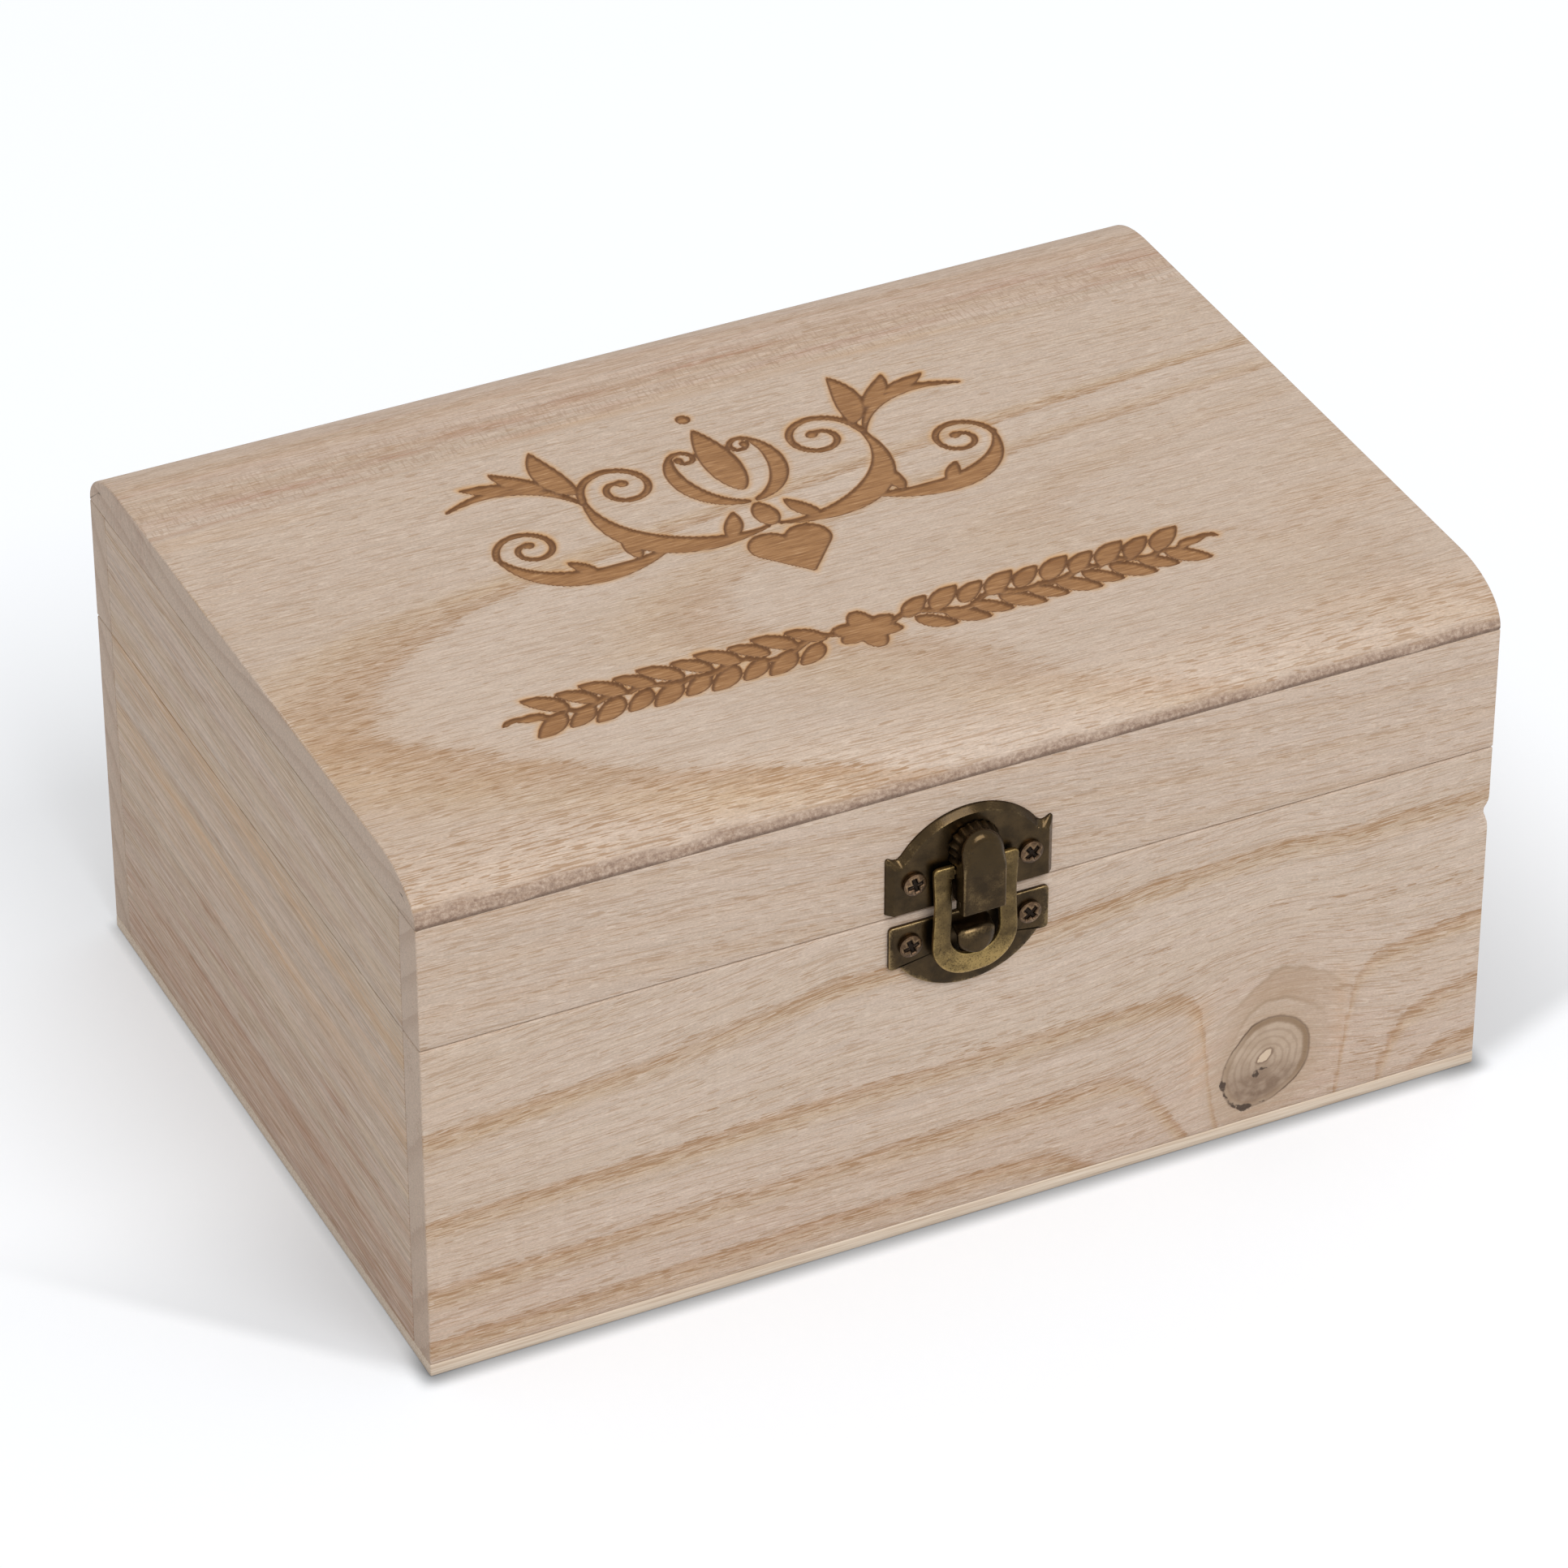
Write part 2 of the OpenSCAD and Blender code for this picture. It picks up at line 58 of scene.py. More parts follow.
def addNode(tree, kind, inputs=None, **settings):
    # one node with its settings; an input is a number, a hex colour, a socket, or a node whose first live output is meant
    node = tree.nodes.new("ShaderNode" + kind)
    for name, value in settings.items():
        setattr(node, name, value)
    for key, value in (inputs or {}).items():
        if isinstance(value, str):
            value = linearColour(value)
        if isinstance(value, bpy.types.Node):
            value = next(out for out in value.outputs if out.enabled)
        if isinstance(value, bpy.types.NodeSocket):
            tree.links.new(value, node.inputs[key])
        else:
            node.inputs[key].default_value = value
    return node


# settings that many nodes share
times, plus, minus, timesPlus = ({"operation": word} for word in ("MULTIPLY", "ADD", "SUBTRACT", "MULTIPLY_ADD"))
eased = {"interpolation_type": "SMOOTHSTEP"}
rgba = {"data_type": "RGBA"}


def colourStops(node, stops):
    # stops are (place, hex) pairs in rising order
    ramp = node.color_ramp
    while len(ramp.elements) < len(stops):
        ramp.elements.new(0.5)
    for element, (place, colour) in zip(ramp.elements, stops):
        element.position = place
        element.color = linearColour(colour)
    return node


def newMaterial(name):
    # an empty material with its node tree and its output node
    material = bpy.data.materials.new(name)
    material.use_nodes = True
    tree = material.node_tree
    tree.nodes.clear()
    return material, tree, addNode(tree, "OutputMaterial")


def smooth(low, high, value):
    # 0 at low, 1 at high and held past both, 3 t^2 - 2 t^3 between; low may be the larger one
    t = np.clip((value - low) / (high - low), 0, 1)
    return t * t * (3 - 2 * t)


def columns(*values):
    # numbers and arrays side by side along a last axis
    return np.stack(np.broadcast_arrays(*values), -1)


def nodeBox(node):
    # low and high corner in mm of the node's box in the CAD
    return [np.array(corner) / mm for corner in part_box(node)]


def roundedEnds(start, stop, soft, between=()):
    # Places along a length with rounded ends, and how far the section is drawn in at each: place = start + soft (1 - cos a)
    # and draw = soft (1 - sin a) for a from 0 to 90 degrees, and the same from the other end.
    turn = np.linspace(0, np.pi / 2, 4)
    step, draw = math.copysign(soft, stop - start) * (1 - np.cos(turn)), soft * (1 - np.sin(turn))
    place = np.concatenate([start + step, between, stop - step[::-1]])
    return place, np.concatenate([draw, np.zeros(len(between)), draw[::-1]])


def outwardNormals(line):
    # unit normals of a closed line that runs anticlockwise
    run = np.roll(line, -1, 0) - np.roll(line, 1, 0)
    return columns(run[:, 1], -run[:, 0]) / np.maximum(np.linalg.norm(run, axis=1), 1e-9)[:, None]


def gridFaces(rows, width, closeRows=False, closeColumns=False):
    # quads between neighbouring rows and columns of a grid, wrapped round where it closes
    r, c = np.meshgrid(np.arange(rows if closeRows else rows - 1),
                       np.arange(width if closeColumns else width - 1), indexing="ij")
    up, right = (r + 1) % rows, (c + 1) % width
    return columns(r * width + c, r * width + right, up * width + right, up * width + c).reshape(-1, 4)


def pointCount(parts):
    # how many points a piece's parts have together
    return sum(part[0].size // 3 for part in parts)


def makePiece(name, body, material, parts, replaced, smoothAngle, values):
    # One mesh of all the parts, each (points in mm, faces), with its values as attributes:
    # a number or a vector for each point of all the parts, or one for all of them.
    count = pointCount(parts)
    points = np.concatenate([points.reshape(-1, 3) for points, faces in parts]) * mm
    starts = [pointCount(parts[:i]) for i in range(len(parts))]
    faceList = [row for part, start in zip(parts, starts) for row in (part[1] + start).tolist()]
    mesh = bpy.data.meshes.new(name)
    mesh.from_pydata(points.tolist(), [], faceList)
    for key, value in values.items():
        value = np.array(value, dtype=np.float32)
        if value.size in (1, 3):
            value = np.broadcast_to(value, (count, 3) if value.ndim else count)
        kind, field = ("FLOAT_VECTOR", "vector") if value.ndim == 2 else ("FLOAT", "value")
        mesh.attributes.new(key, kind, "POINT").data.foreach_set(field, value.ravel())
    shell = bmesh.new()
    shell.from_mesh(mesh)
    bmesh.ops.remove_doubles(shell, verts=shell.verts, dist=0.002 * mm)
    bmesh.ops.dissolve_degenerate(shell, edges=shell.edges, dist=0.0001 * mm)
    bmesh.ops.recalc_face_normals(shell, faces=shell.faces)
    shell.to_mesh(mesh)
    shell.free()
    piece = bpy.data.objects.new(name, mesh)
    bpy.context.scene.collection.objects.link(piece)
    mesh.materials.append(material)
    mesh.shade_smooth()
    mesh.set_sharp_from_angle(angle=math.radians(smoothAngle))
    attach(piece, body)
    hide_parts(*replaced)


# the photograph's camera: place in mm, tilt and turn in degrees, lens in mm on a sensor of 36
view = {"place": (-462.0, -955.8, 787.0), "tilt": 55.065, "turn": -25.779, "lens": 169.94, "sensor": 36}

cameraData = bpy.data.cameras.new("camera")
cameraData.lens = view["lens"]
cameraData.sensor_width = view["sensor"]
cameraData.clip_end = 20
camera = bpy.data.objects.new("camera", cameraData)
camera.location = Vector(view["place"]) * mm
camera.rotation_euler = Euler((math.radians(view["tilt"]), 0, math.radians(view["turn"])))
bpy.context.scene.collection.objects.link(camera)
bpy.context.scene.camera = camera

studio = {
    "skyStrength": 0.64,
    "keyPlace": (0.45, -2.60, 3.30), "keySize": 2.3, "keyPower": 88,  # metres, watts
    "floorColour": "#e3e6ea", "floorLift": 0.25, "floorReach": 6.0,
    # painted shade on the paper beside the box, in the floor's colour and not from the lamps: how dark, how far out
    # from the front, the left and the right wall in mm
    "frontPaintedShade": (0.56, 4.3), "leftPaintedShade": (0.26, 2.6), "rightPaintedShade": (0.30, 72.0), "cornerPaintedShade": 0.19,
}


def addKeyLight():
    # one large soft lamp before the box and above it, aimed at its middle
    lamp = bpy.data.lights.new("keyLight", "AREA")
    lamp.shape = "SQUARE"
    lamp.size = studio["keySize"]
    lamp.energy = studio["keyPower"]
    light = bpy.data.objects.new("keyLight", lamp)
    light.location = studio["keyPlace"]
    light.rotation_euler = (Vector((0, 0, 50 * mm)) - light.location).to_track_quat("-Z", "Y").to_euler()
    bpy.context.scene.collection.objects.link(light)


def seenDirectly(tree):
    # 1 for rays from the camera, through glass or off metal, else 0
    path = addNode(tree, "LightPath").outputs
    seen = addNode(tree, "Math", {0: path["Is Camera Ray"], 1: path["Is Transmission Ray"]}, operation="MAXIMUM")
    return addNode(tree, "Math", {0: seen, 1: path["Is Glossy Ray"]}, operation="MAXIMUM")


def lightTheSky():
    # a plain white sky that lights the box softly, and is pure white to the camera and in the metal
    world = bpy.data.worlds.new("studio")
    bpy.context.scene.world = world
    world.use_nodes = True
    tree = world.node_tree
    tree.nodes.clear()
    strength = addNode(tree, "MapRange", {0: seenDirectly(tree), 3: studio["skyStrength"], 4: 1.0})
    sky = addNode(tree, "Background", {"Color": "#ffffff", "Strength": strength})
    addNode(tree, "OutputWorld", {"Surface": sky})


def paintedShadeBesideBox(tree):
    # Painted shade beside the box, darkening the paper's colour and not cast by the lamps. How much light the paper
    # keeps there: 1 less each of four painted shades, multiplied. They run out from its walls x = -100, x = 100 and y =
    # -71: thin ones along the front and the left, a wide one at the right that ends on the line y = -74 + 0.38 (x -
    # 100), and one at the left front that ends on the line 1.05 (x + 100) + y + 71 = 0.
    # All of them fade out under the box.
    add = partial(addNode, tree)
    place = add("VectorMath", {0: add("TexCoord").outputs["Object"], 3: 1 / mm}, operation="SCALE")
    place = add("SeparateXYZ", {0: place})
    x, y = place.outputs["X"], place.outputs["Y"]
    aside, along = (add("Math", {0: way}, operation="ABSOLUTE") for way in (x, y))
    rightEnd, cornerEnd = (add("Math", {0: x, 1: slope, 2: y}, **timesPlus) for slope in (-0.38, 1.05))
    front, frontReach = studio["frontPaintedShade"]
    left, leftReach = studio["leftPaintedShade"]
    right, rightReach = studio["rightPaintedShade"]
    light = 1.0
    # each shade is its darkness times smooth ramps, given as (value, where it is 0, where it is 1)
    for shade, *ramps in (
            (front, (y, -halfDepth - frontReach, -halfDepth), (y, -60, -70), (aside, 104, 99)),
            (left, (x, -halfWidth - leftReach, -halfWidth), (x, -90, -99), (along, 74, 70)),
            (right, (x, halfWidth + rightReach, halfWidth), (x, 90, 99), (rightEnd, -114, -106), (y, 110, 60)),
            (studio["cornerPaintedShade"], (cornerEnd, -180, -172), (x, -99, -103), (y, 0, -50))):
        for value, start, stop in ramps:
            ramp = add("MapRange", {0: value, 1: start, 2: stop}, **eased)
            shade = add("Math", {0: ramp, 1: shade}, **times)
        light = add("Math", {0: add("Math", {0: 1.0, 1: shade}, **minus), 1: light}, **times)
    return light


def floorPaper():
    # Matt white paper: a plain diffuse floor, lifted a little to white where the camera or the metal sees it, and mixed
    # towards black beside the box as a painted shade
    material, tree, output = newMaterial("whitePaperFloor")
    add = partial(addNode, tree)
    paper = add("BsdfDiffuse", {"Color": studio["floorColour"]})
    lift = add("Math", {0: seenDirectly(tree), 1: studio["floorLift"]}, **times)
    lit = add("AddShader", {0: paper, 1: add("Emission", {"Color": "#ffffff", "Strength": lift})})
    # painted shade: the black that the paper is mixed towards beside the box
    dark = add("BsdfDiffuse", {"Color": "#000000"})
    shader = add("MixShader", {0: paintedShadeBesideBox(tree), 1: dark, 2: lit})
    tree.links.new(shader.outputs[0], output.inputs["Surface"])
    return material


addKeyLight()
lightTheSky()
reach = studio["floorReach"]
floorMesh = bpy.data.meshes.new("floor")
floorMesh.from_pydata([(-reach, -reach, 0), (reach, -reach, 0), (reach, reach, 0), (-reach, reach, 0)], [], [(0, 1, 2, 3)])
floorMesh.materials.append(floorPaper())
floor = bpy.data.objects.new("floor", floorMesh)
floor.location = (0, 0, -0.1 * mm)
bpy.context.scene.collection.objects.link(floor)
print("camera, lights and floor ready")

wood = {
    "early": "#c8b4a3", "mid": "#c3ae9c", "late": "#c2a88d", "lateEdge": "#b5967b",
    "pore": "#a98b70", "latePore": "#977048", "fleck": "#dccab9", "gold": "#cca173", "red": "#a9755c",
    # the dark colour after the torn ones is a painted shade line along the top board's lower front edge
    "streak": "#bca88f", "ray": "#a68a74", "torn": ("#82695a", "#a38a78", "#c6b09e"), "paintedShadeLine": "#6a5446",
    "end": "#c2ac99", "endLate": "#a98f7b", "endPore": "#a39082", "endRed": "#98705c",
    "fray": 0.16, "roughness": 0.62, "bump": 0.2, "relief": 0.6,
    # noise layers: length along the grain and width across it in mm, then shift, detail and roughness
    "layers": {
        "sway": (34, 3.2, 1.3, 2, 0.5), "teeth": (2.6, 0.34, 4.1, 2, 0.5), "cloud": (60, 9, 7.7, 2, 0.5),
        "long": (75, 0.9, 13.1, 3, 0.6), "wide": (60, 3.4, 17.7, 2, 0.5), "fibre": (7.0, 0.22, 2.9, 3, 0.6),
        "fuzz": (0.6, 0.18, 21.4, 2, 0.6), "hair": (9.0, 0.26, 31.0, 0, 0.5), "streak": (22, 0.9, 9.3, 3, 0.5),
        "pore": (3.6, 0.25, 5.5, 0, 0.5), "fleck": (3.0, 0.24, 8.8, 0, 0.5), "tick": (0.42, 2.6, 15.2, 1, 0.4),
        "torn": (0.8, 0.5, 19.0, 3, 0.7), "dot": (1.0, 0.34, 3.3, 1, 0.4),
    },
    "burntLayers": {
        "flicker": (3.0, 0.5, 11.0, 3, 0.6), "smoke": (7, 7, 14.0, 2, 0.5), "char": (4.5, 0.33, 12.5, 3, 0.65),
    },
}

knotLook = {
    "around": "#a88e71", "cap": "#a5876a", "arc": "#8b6e4c", "inside": ("#bba590", "#b09983"), "coil": "#8f7661",
    "foot": "#7a6351", "band": "#7d6142", "line": "#574233", "pithRim": "#755c4a", "pith": "#d2bba2", "crack": "#3f3027",
    "coils": 4.4, "noise": {"coarse": 3.5, "blotch": 2.6, "fine": 0.8},  # radians per mm, mm
}

burnLook = {
    # the darkest colour, inside the engraving's edge, is scorch together with painted shade of the cut's wall
    "halo": "#c99f70", "rim": "#a06f3c", "smoke": "#80552f", "scorch": "#633f22",
    "ground": [(0.28, "#7f5632"), (0.48, "#9a6f46"), (0.62, "#a97d53"), (0.76, "#c9a27a")],
}


def knotted(add, base, height):
    # The knot over the wood's colour and height. Its attributes: knot holds mm outside the oval's rim, outside its crack
    # and star, and outside the pith; tone how brown the band is, how dark the foot is and how dark the rim's line is;
    # arcs mm outside the near and the far arc over it, and how strong they are.
    (place, crack, pith), (brown, dark, drawn), (near, far, strength) = (
        add("SeparateXYZ", {0: add("Attribute", attribute_name=key).outputs["Vector"]}).outputs
        for key in ("knot", "tone", "arcs"))
    spot = add("TexCoord").outputs["Object"]
    noise = {key: add("TexNoise", {"Vector": spot, "Scale": 1 / (size * mm), "Detail": 3.0}).outputs["Fac"]
             for key, size in knotLook["noise"].items()}

    def frayed(distance, layer, swing, middle):
        # a distance in mm that the noise moves by swing
        return add("Math", {0: noise[layer], 1: swing, 2: add("Math", {0: distance, 1: middle}, **minus)}, **timesPlus)

    rim = add("Math", {0: noise["fine"], 1: 0.3, 2: frayed(place, "coarse", 0.9, 0.6)}, **timesPlus)
    near, far = frayed(near, "coarse", 1.6, 0.8), frayed(far, "coarse", 2.6, 1.3)
    blotch = add("MapRange", {0: noise["blotch"], 1: 0.35, 2: 0.65}, **eased)

    # a shade all round it, and a brown cap over it between two faint arcs
    around = add("MapRange", {0: rim, 1: 6.0, 2: 0.3, 3: 0.0, 4: 0.38}, **eased)
    base = add("Mix", {0: around, 6: base, 7: knotLook["around"]}, **rgba)
    outsideNear = add("MapRange", {0: near, 1: -0.4, 2: 0.8}, **eased)
    insideFar = add("MapRange", {0: far, 1: 0.5, 2: -0.7, 3: 0.0, 4: 0.52}, **eased)
    shades = [(add("Math", {0: outsideNear, 1: insideFar}, **times), knotLook["cap"])]
    for edge, wide, strong in ((near, 0.7, 0.5), (far, 0.8, 0.42)):
        away = add("Math", {0: edge}, operation="ABSOLUTE")
        shades.append((add("MapRange", {0: away, 1: wide, 2: 0.0, 3: 0.0, 4: strong}, **eased), knotLook["arc"]))
    for share, colour in shades:
        base = add("Mix", {0: add("Math", {0: share, 1: strength}, **times), 6: base, 7: colour}, **rgba)

    # inside: grey beige with faint rings, darker towards its foot
    inside = add("Mix", {0: blotch, 6: knotLook["inside"][0], 7: knotLook["inside"][1]}, **rgba)
    coils = add("Math", {0: add("Math", {0: rim, 1: knotLook["coils"]}, **times)}, operation="SINE")
    coils = add("MapRange", {0: coils, 1: 0.0, 2: 1.0, 3: 0.0, 4: 0.34}, **eased)
    foot = add("Math", {0: dark, 1: add("MapRange", {0: blotch, 3: 0.55, 4: 0.95})}, **times)
    for share, colour in ((coils, "coil"), (foot, "foot")):
        inside = add("Mix", {0: share, 6: inside, 7: knotLook[colour]}, **rgba)

    # a soft brown band just inside the rim, a thin dark line on it, and a pale pith inside a dark outline, over a dark star
    band = add("Math", {0: add("Math", {0: rim, 1: 0.55}, **plus)}, operation="ABSOLUTE")
    band = add("Math", {0: add("MapRange", {0: band, 1: 1.15, 2: 0.1}, **eased), 1: brown}, **times)
    line = add("MapRange", {0: add("Math", {0: rim}, operation="ABSOLUTE"), 1: 0.30, 2: 0.06}, **eased)
    line = add("Math", {0: line, 1: add("MapRange", {0: drawn, 3: 0.2, 4: 0.78})}, **times)
    pith = frayed(pith, "fine", 0.35, 0.17)
    deep = add("MapRange", {0: frayed(crack, "fine", 0.7, 0.35), 1: 0.16, 2: -0.08, 3: 0.0, 4: 0.9}, **eased)
    for share, colour in (
            (add("MapRange", {0: rim, 1: 0.2, 2: -0.2}, **eased), inside), (band, knotLook["band"]), (line, knotLook["line"]),
            (add("MapRange", {0: pith, 1: 0.50, 2: 0.1, 3: 0.0, 4: 0.7}, **eased), knotLook["pithRim"]),
            (add("MapRange", {0: pith, 1: 0.08, 2: -0.12}, **eased), knotLook["pith"]), (deep, knotLook["crack"])):
        base = add("Mix", {0: share, 6: base, 7: colour}, **rgba)
    return base, add("Math", {0: deep, 1: -4.0, 2: height}, **timesPlus)


def engraved(add, base, height, layer):
    # Laser engraving over the wood's colour and height: brown ground with pale fibres, darker along the inside of its
    # edge as scorch and as a painted shade of its wall, and a golden halo.
    # The burn attribute is the distance in mm from its edge, below 0 inside.
    burn = add("Attribute", attribute_name="burn").outputs["Fac"]
    edge = add("Math", {0: layer["flicker"], 1: 0.10, 2: add("Math", {0: burn, 1: 0.05}, **minus)}, **timesPlus)
    halo = add("Math", {0: add("MapRange", {0: edge, 1: 1.3, 2: 0.0}, **eased),
                        1: add("MapRange", {0: layer["smoke"], 1: 0.35, 2: 0.7, 3: 0.2, 4: 0.8}, **eased)}, **times)
    rim = add("MapRange", {0: edge, 1: 0.28, 2: 0.02, 3: 0.0, 4: 0.8}, **eased)
    smoke = add("MapRange", {0: layer["smoke"], 1: 0.45, 2: 0.75, 3: 0.0, 4: 0.45}, **eased)
    # darker just inside the edge: scorch, and painted shade of the engraving's wall
    scorch = add("MapRange", {0: edge, 1: -0.75, 2: -0.1, 3: 0.0, 4: 0.9}, **eased)
    ground = colourStops(add("ValToRGB", {0: layer["char"]}), burnLook["ground"])
    for share, colour in ((smoke, "smoke"), (scorch, "scorch")):
        ground = add("Mix", {0: share, 6: ground, 7: burnLook[colour]}, **rgba)
    for share, colour in ((halo, burnLook["halo"]), (rim, burnLook["rim"]),
                          (add("MapRange", {0: edge, 1: 0.05, 2: -0.05}, **eased), ground)):
        base = add("Mix", {0: share, 6: base, 7: colour}, **rgba)
    sunk = add("MapRange", {0: edge, 1: 0.0, 2: -0.6}, **eased)
    return base, add("Math", {0: sunk, 1: add("Math", {0: layer["flicker"], 1: 1.2}, **times), 2: height}, **timesPlus)


def paulownia(name, knot=False, burnt=False):
    # Paulownia, planed and sanded, bare: pale pinkish beige, low contrast rings, thin dark pores and silvery flecks.
    # Its attributes: grain is (along, across, across) in mm, bent to follow the figure; ring counts growth rings;
    # marks is how gold, how red and how ringed a spot is; habit how streaky, rayed and scuffed, where a scuffed value
    # above 1 is a painted shade line;
    # dashes how thick its pores lie; endGrain is 1 on the board's ends; quiet is 1 where the fibres turn round the
    # knot.
    material, tree, output = newMaterial(name)
    add = partial(addNode, tree)
    grain = add("Attribute", attribute_name="grain").outputs["Vector"]
    (goldMark, redMark, ringed), (streaky, rays, scuffedAndShaded) = (
        add("SeparateXYZ", {0: add("Attribute", attribute_name=key).outputs["Vector"]}).outputs for key in ("marks", "habit"))
    ring, dashes, endGrain = (add("Attribute", attribute_name=key).outputs["Fac"] for key in ("ring", "dashes", "endGrain"))

    layer = {}
    for key, (along, across, shift, detail, rough) in (wood["layers"] | (wood["burntLayers"] if burnt else {})).items():
        place = add("Mapping", {"Vector": grain, "Location": (shift, shift * 1.7, shift * 2.3),
                                "Scale": (1 / along, 1 / across, 1 / across)})
        noise = add("TexNoise", {"Vector": place, "Scale": 1.0, "Detail": float(detail), "Roughness": rough})
        layer[key] = noise.outputs["Fac"]

    # growth rings: light early wood darkens slowly to a sharp late edge, frayed along the grain
    phase = add("Math", {0: layer["sway"], 1: wood["fray"], 2: ring}, **timesPlus)
    phase = add("Math", {0: layer["teeth"], 1: wood["fray"], 2: phase}, **timesPlus)
    phase = add("Math", {0: add("Math", {0: phase, 1: wood["fray"]}, **minus)}, operation="FRACT")
    rings = colourStops(add("ValToRGB", {0: phase}), [
        (0.0, wood["mid"]), (0.05, wood["early"]), (0.38, wood["early"]), (0.56, wood["mid"]),
        (0.74, wood["late"]), (0.91, wood["lateEdge"]), (1.0, wood["mid"])])
    late = add("Math", {0: add("MapRange", {0: phase, 1: 0.5, 2: 0.88}, **eased), 1: ringed}, **times)

    # cloudy patches, long streaks where the board has them, and fine fibres
    clouds = add("MapRange", {0: layer["cloud"], 1: 0.3, 2: 0.7, 3: 0.0, 4: 0.35}, **eased)
    wide = add("MapRange", {0: layer["wide"], 1: 0.35, 2: 0.65, 3: 0.0, 4: 0.5}, **eased)
    wide = add("Math", {0: streaky, 1: wide}, **times)
    base = wood["mid"]
    for share, colour in ((ringed, rings), (clouds, wood["early"]), (wide, wood["streak"])):
        base = add("Mix", {0: share, 6: base, 7: colour}, **rgba)
    long = add("MapRange", {0: layer["long"], 1: 0.28, 2: 0.72, 3: -0.12, 4: 0.12}, **eased)
    value = add("Math", {0: layer["fibre"], 1: 0.46, 2: 0.425}, **timesPlus)
    value = add("Math", {0: layer["fuzz"], 1: 0.66, 2: value}, **timesPlus)
    value = add("Math", {0: long, 1: streaky, 2: value}, **timesPlus)
    base = add("HueSaturation", {"Color": base, "Value": value})

    # gold and red streaks that a board carries at its own places, and paler flecks
    broken = add("MapRange", {0: layer["streak"], 1: 0.32, 2: 0.68, 3: 0.35, 4: 1.0}, **eased)
    gold, red = (add("Math", {0: mark, 1: broken}, **times) for mark in (goldMark, redMark))
    for share, colour in ((add("Math", {0: gold, 1: 0.6}, **times), "gold"), (add("Math", {0: red, 1: 0.55}, **times), "red"),
                          (add("MapRange", {0: layer["fleck"], 1: 0.63, 2: 0.70, 3: 0.0, 4: 0.45}, **eased), "fleck")):
        base = add("Mix", {0: share, 6: base, 7: wood[colour]}, **rgba)

    # pores: thin dark dashes and hairs, dense and orange brown in late wood
    thick = add("Math", {0: dashes, 1: red}, operation="MAXIMUM")
    thick = add("Math", {0: late, 1: thick}, operation="MAXIMUM", use_clamp=True)
    poreEdge = add("Math", {0: thick, 1: -0.095, 2: 0.675}, **timesPlus)
    pores = add("MapRange", {0: add("Math", {0: layer["pore"], 1: poreEdge}, **minus), 1: 0.0, 2: 0.045}, **eased)
    hairs = add("MapRange", {0: layer["hair"], 1: 0.665, 2: 0.70, 3: 0.0, 4: 0.75}, **eased)
    pores = add("Math", {0: pores, 1: hairs}, operation="MAXIMUM")
    poreColour = add("Mix", {0: thick, 6: wood["pore"], 7: wood["latePore"]}, **rgba)
    poreMix = add("Math", {0: pores, 1: add("MapRange", {0: thick, 3: 0.62, 4: 0.68})}, **times)
    if knot:
        quiet = add("Attribute", attribute_name="quiet").outputs["Fac"]
        poreMix = add("Math", {0: poreMix, 1: add("MapRange", {0: quiet, 3: 1.0, 4: 0.4})}, **times)

    # rays: short ticks across the grain where the cut is radial; the scuffed value: torn by the cutter, greyer and
    # rough, and from 1.1 to 1.8 a dark painted shade line
    ticks = add("MapRange", {0: layer["tick"], 1: 0.52, 2: 0.64, 3: 0.0, 4: 0.5}, **eased)
    torn = colourStops(add("ValToRGB", {0: layer["torn"]}), list(zip((0.30, 0.5, 0.72), wood["torn"])))
    for share, colour in (
            (poreMix, poreColour), (add("Math", {0: rays, 1: ticks}, **times), wood["ray"]),
            (add("Math", {0: scuffedAndShaded, 1: 0.85}, use_clamp=True, **times), torn),
            # painted shade: the dark line along the top board's lower front edge
            (add("MapRange", {0: scuffedAndShaded, 1: 1.1, 2: 1.8, 3: 0.0, 4: 0.7}, **eased), wood["paintedShadeLine"])):
        base = add("Mix", {0: share, 6: base, 7: colour}, **rgba)

    # end grain: greyer, with round pores and the rings as arcs
    endLate = add("MapRange", {0: phase, 1: 0.50, 2: 0.97, 3: 0.0, 4: 0.5}, **eased)
    endBase = add("Mix", {0: endLate, 6: wood["end"], 7: wood["endLate"]}, **rgba)
    endBase = add("HueSaturation", {"Color": endBase, "Value": value})
    for share, colour in ((add("MapRange", {0: layer["dot"], 1: 0.60, 2: 0.68, 3: 0.0, 4: 0.35}, **eased), "endPore"),
                          (add("Math", {0: red, 1: 0.5}, **times), "endRed")):
        endBase = add("Mix", {0: share, 6: endBase, 7: wood[colour]}, **rgba)
    base = add("Mix", {0: endGrain, 6: base, 7: endBase}, **rgba)

    height = add("Math", {0: layer["fibre"], 1: 0.35, 2: add("Math", {0: pores, 1: -0.7}, **times)}, **timesPlus)
    height = add("Math", {0: add("Math", {0: scuffedAndShaded, 1: layer["torn"]}, **times), 1: 3.2, 2: height}, **timesPlus)
    if knot:
        base, height = knotted(add, base, height)
    if burnt:
        base, height = engraved(add, base, height, layer)
    roughness = add("Math", {0: layer["fibre"], 1: 0.12, 2: wood["roughness"] - 0.06}, **timesPlus)
    bump = add("Bump", {"Height": height, "Strength": wood["bump"], "Distance": wood["relief"] * mm})
    shader = add("BsdfPrincipled", {"Base Color": base, "Roughness": roughness, "Normal": bump, "IOR": 1.5,
                                    "Specular IOR Level": 0.28})
    tree.links.new(shader.outputs[0], output.inputs["Surface"])
    return material


plainWood = paulownia("sandedPaulownia")
knottyWood = paulownia("knottyPaulownia", knot=True)
engravedWood = paulownia("engravedPaulownia", burnt=True)

sheetLook = {"face": "#dac8b4", "dark": "#c6b09a", "pale": "#e5d6c4", "glue": "#c2ac95", "plies": 3, "thickness": 2.4}


